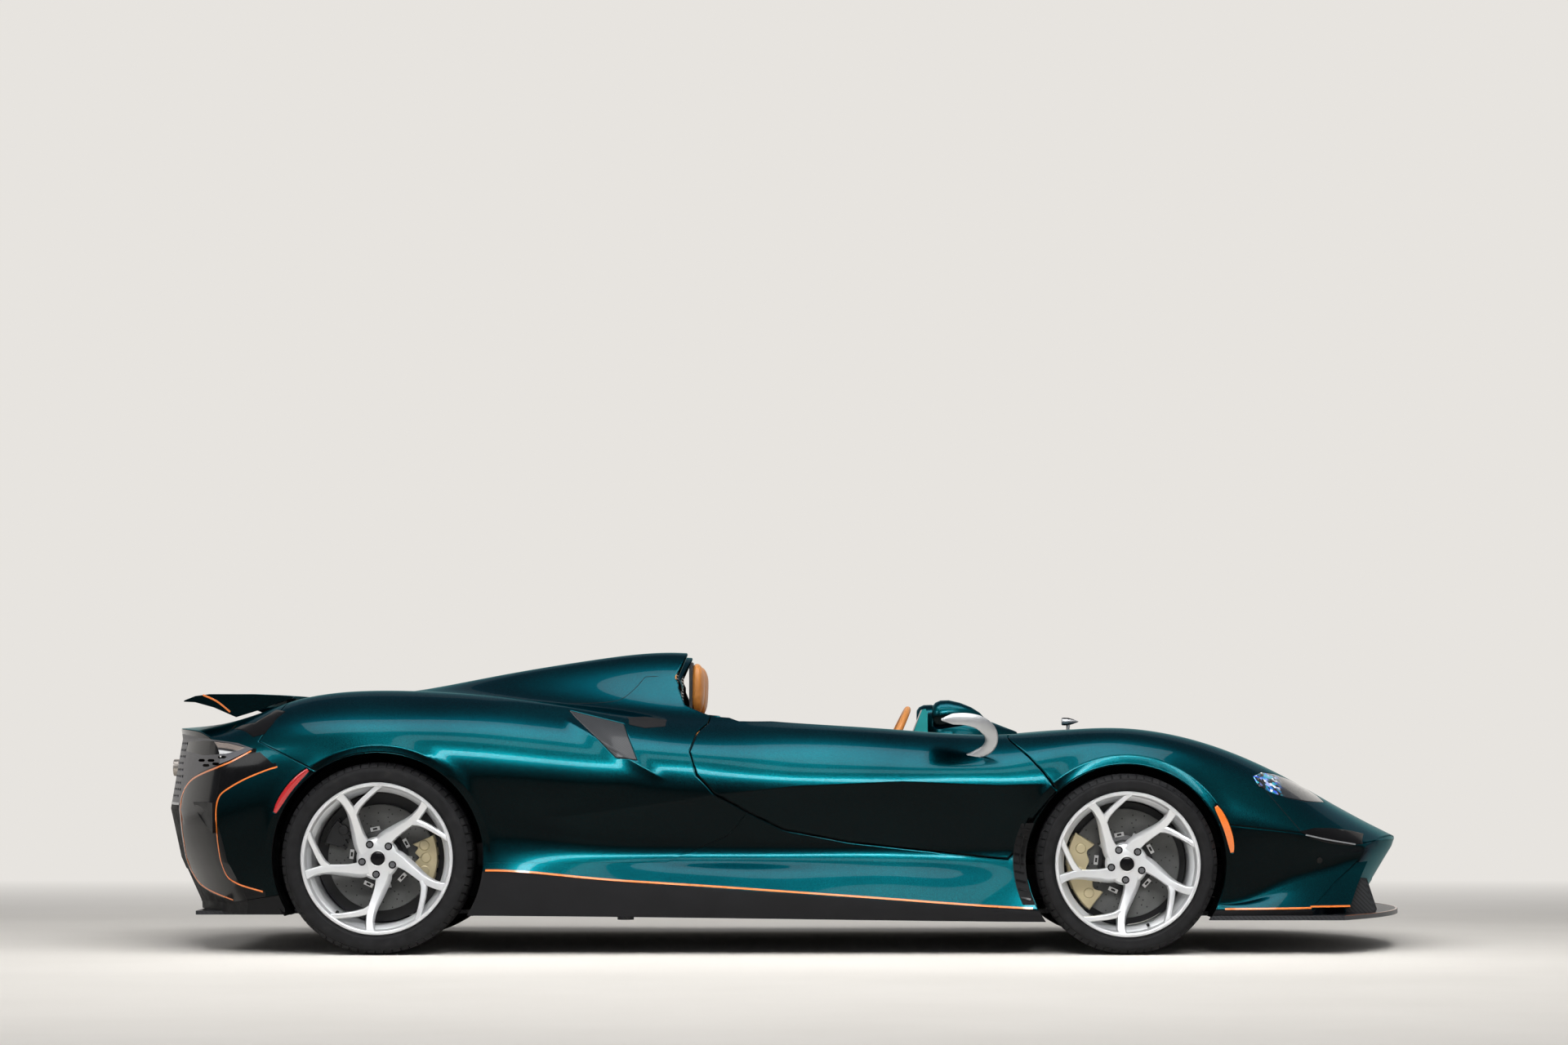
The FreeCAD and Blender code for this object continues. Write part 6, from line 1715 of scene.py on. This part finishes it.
def dashboard():
    piece = Piece(TAN, DARK_LEATHER, GLOSS_BLACK, TEAL_TRIM, TRIM_METAL)
    outline = eased([(566, 566), (528, 640), (540, 724), (600, 768), (672, 742), (694, 700), (694, 606)], 5,
                    loop=True)
    middle = outline.mean(0)
    loops = []
    for y in np.concatenate([[-638], np.linspace(-632, 632, 49), [638]]):
        size = 0.985 - 0.035 * (abs(y) / 638) ** 8 + 0.008 * math.cos(y / 640 * math.pi * 3)
        loops.append([(middle[0] + (x - middle[0]) * size, y, middle[1] + (z - middle[1]) * size)
                      for x, z in outline])
    piece.add(*rings(loops))
    piece.add(*flank([(545, 562), (600, 556), (690, 600), (690, 630), (560, 620)], 1, -630, 630), finish=1)
    for y in (-560, -200, 160, 575):
        at = Matrix.Translation((531, y, 690)) @ Matrix.Rotation(math.radians(-90 - 8), 4, "Y")
        piece.add(*lathe([(27, -6), (33, -6), (34, 2), (32, 5), (28, 4)], 40), finish=4, at=at)
        piece.add(*lathe([(0, -6), (27.4, -6), (27.4, 0), (9, 2), (0, 3)], 32), finish=2, at=at)
    piece.add(*flank([(-256, 180), (-256, 322), (198, 392), (560, 592), (596, 592), (596, 180)], 1, -82,
                     82), finish=1)
    piece.add(*flank([(-240, 324), (-236, 334), (60, 380), (64, 372)], 1, -58, 58), finish=0)
    piece.add(*flank([(236, 414), (232, 424), (520, 586), (528, 578)], 1, -60, 60), finish=2)
    at = Matrix.Translation((150, 0, 386)) @ Matrix.Rotation(math.radians(-8), 4, "Y")
    piece.add(*lathe([(0, 0), (34, 0), (34, 5), (28, 9), (12, 12), (12, 30), (17, 38), (12, 47), (0, 49)],
                     32), finish=4, at=at)
    piece.add(*lathe([(16, 31), (42, 31), (47, 37), (47.6, 60), (47.6, 216), (16, 216)], 48), finish=1,
              at=COLUMN)
    piece.add(*flank([(546, 704), (502, 799), (534.5, 882), (547.5, 884.5), (555, 869), (555, 704)], 1, 287,
                     453), finish=3)
    face = [(500.6, 800), (532.8, 880), (534.6, 879), (503, 800)]
    piece.add(*flank(face, 1, 296, 444), finish=2)
    piece.object("dashboard_pad", "root", ("dashboard",), sharp=38)
    buttons, turns = [], []
    for row in range(6):
        for y in (-36, -12, 12, 36):
            x = 262 + 44 * row
            buttons.append((x, y, 424 + (x - 232) * 0.5625 + 1.2))
            turns.append((0.0, -math.radians(29.4), 0.0))
    repeated("console_buttons", "pin", buttons, turns, TRIM_METAL, "root",
             {"Radius": 0.0065, "Height": 0.004, "Sides": 16})


def door_cards():
    for name, side in (("right", -1), ("left", 1)):
        piece = Piece(TAN, DARK_LEATHER, TRIM_METAL)
        outline = [(-236, 792), (-268, 724), (-246, 600), (-130, 530), (10, 482), (560, 408), (770, 400),
                   (800, 470),
                   (805, 600), (760, 700), (660, 742), (400, 768), (100, 786)]
        piece.add(*flank(eased(outline, 4, loop=True).tolist(), side, 678.2, 681))
        pocket = [(60, 520), (520, 452), (560, 500), (520, 560), (80, 604)]
        piece.add(*flank(eased(pocket, 4, loop=True).tolist(), side, 677.4, 679), finish=1)
        piece.add(*swept([(120, side * 677.2, 684), (260, side * 676.4, 676), (400, side * 677.2, 668)],
                         [(-9, -1), (9, -1), (9, 1.4), (-9, 1.4)], (0, -side, 0)), finish=2)
        piece.object("door_card_" + name, "door_" + name, (), sharp=40)


seats()
dashboard()
door_cards()


# Carried-over nodes, floor, light and camera
PLAIN = {
    "front_splitter": CARBON, "underfloor": CARBON, "rear_diffuser": BLACK_PLASTIC_AND_SHADE, "tub": SATIN_BLACK,
    "arch_liners": BLACK_PLASTIC_AND_SHADE, "engine_block": CAST, "rear_grille": DARK_STEEL,
    "seat_left": TAN, "seat_right": TAN, "dashboard": TAN,
    "rear_uprights": CAST,
    "front_wishbones": DARK_STEEL, "rear_wishbones": DARK_STEEL, "half_shafts": DARK_STEEL,
}
for side_name in ("right", "left"):
    PLAIN["knuckle_front_" + side_name] = CAST
    PLAIN["caliper_front_" + side_name] = GOLD
    for end_name in ("front", "rear"):
        PLAIN["tyre_%s_%s" % (end_name, side_name)] = RUBBER
        PLAIN["rim_%s_%s" % (end_name, side_name)] = RIM_SILVER
        PLAIN["disc_%s_%s" % (end_name, side_name)] = CERAMIC
for node_name, finish in PLAIN.items():
    mesh = NODES[node_name].data
    mesh.materials.clear()
    mesh.materials.append(finish)


def studio():
    """Pale floor that turns up into a wall, whose own tone shows to the camera and in glass."""
    ground, tree, shader = made_of("pale_ground", (0.78, 0.745, 0.69), 0.0, 0.85)
    place = place_of(tree)
    cloud = noise_of(tree, place, 1.3, 5.0)
    wire(tree, tints(tree, cloud, (0.3, (0.765, 0.73, 0.675)), (0.7, (0.80, 0.765, 0.71))),
         shader.inputs["Base Color"])
    parts = tree.nodes.new("ShaderNodeSeparateXYZ")
    wire(tree, place, parts.inputs["Vector"])
    ray = tree.nodes.new("ShaderNodeLightPath")
    seen = reckon(tree, "ADD", ray.outputs["Is Camera Ray"], ray.outputs["Is Glossy Ray"])
    seen = reckon(tree, "ADD", seen, ray.outputs["Is Transmission Ray"])
    wall = spread(tree, parts.outputs["Y"], 0.0, 1.0, 2.2, 7.0)
    own = tree.nodes.new("ShaderNodeEmission")
    own.inputs["Color"].default_value = (0.80, 0.775, 0.74, 1.0)
    own.inputs["Strength"].default_value = 1.0
    blend = tree.nodes.new("ShaderNodeMixShader")
    wire(tree, reckon(tree, "MULTIPLY", seen, wall), blend.inputs["Fac"])
    wire(tree, shader.outputs["BSDF"], blend.inputs[1])
    wire(tree, own.outputs["Emission"], blend.inputs[2])
    wire(tree, blend.outputs["Shader"], tree.nodes["Material Output"].inputs["Surface"])
    outline = [(-50, 0), (22, 0)]
    outline += [(22 + 4 * math.sin(a), 4 - 4 * math.cos(a)) for a in np.linspace(0.15, math.pi / 2, 12)]
    outline += [(26, 30)]
    points = [(x, y, z) for x in (-60, 60) for y, z in outline]
    n = len(outline)
    faces = [[k, k + n, k + n + 1, k + 1] for k in range(n - 1)]
    mesh = bpy.data.meshes.new("studio_sweep")
    mesh.from_pydata(points, [], faces)
    mesh.materials.append(ground)
    mesh.polygons.foreach_set("use_smooth", np.ones(len(faces), bool))
    sweep = bpy.data.objects.new("studio_sweep", mesh)
    bpy.context.scene.collection.objects.link(sweep)


def lamp(name, place, aim, width, depth, power):
    light = bpy.data.lights.new(name, "AREA")
    light.shape = "RECTANGLE"
    light.size, light.size_y = width, depth
    light.energy = power
    made = bpy.data.objects.new(name, light)
    made.location = place
    made.rotation_euler = (Vector(aim) - Vector(place)).to_track_quat("-Z", "Y").to_euler()
    bpy.context.scene.collection.objects.link(made)
    return made


def light_the_studio():
    world = bpy.data.worlds.new("studio_air")
    bpy.context.scene.world = world
    world.use_nodes = True
    tree = world.node_tree
    back = tree.nodes["Background"]
    back.inputs["Color"].default_value = (0.93, 0.95, 1.0, 1.0)
    back.inputs["Strength"].default_value = 0.30
    lamp("overhead_softbox", (0.0, -1.6, 5.5), (0, -1.2, 0), 7.0, 2.0, 240)
    lamp("sill_strip", (0.2, -4.0, 5.5), (0.2, -0.9, 0.3), 6.0, 1.0, 70)
    glow = lamp("sill_glow", (0.1, -3.4, 2.1), (0.1, -0.95, 0.25), 4.6, 0.4, 11)
    glow.data.spread = math.radians(50)
    lamp("rear_three_quarter", (-6.0, -4.5, 4.5), (-1.2, 0, 0.7), 2.0, 2.0, 70)
    lamp("camera_side", (3.0, -8.0, 5.5), (0.3, 0, 0.6), 4.0, 2.0, 70)


FOCAL_PIXELS = 4985.0
IMAGE_WIDTH = 1920.0
HORIZON_BELOW_MIDDLE = 271.0
SENSOR_WIDTH = 36.0


def camera():
    data = bpy.data.cameras.new("photo_camera")
    data.lens = FOCAL_PIXELS / IMAGE_WIDTH * SENSOR_WIDTH
    data.sensor_width = SENSOR_WIDTH
    data.clip_end = 200
    made = bpy.data.objects.new("photo_camera", data)
    made.location = (0.0, -15.465, 0.75)
    made.rotation_euler = (math.pi / 2 + math.atan(HORIZON_BELOW_MIDDLE / FOCAL_PIXELS), 0, 0)
    bpy.context.scene.collection.objects.link(made)
    bpy.context.scene.camera = made


studio()
light_the_studio()
camera()
bpy.context.scene.view_settings.view_transform = "Standard"
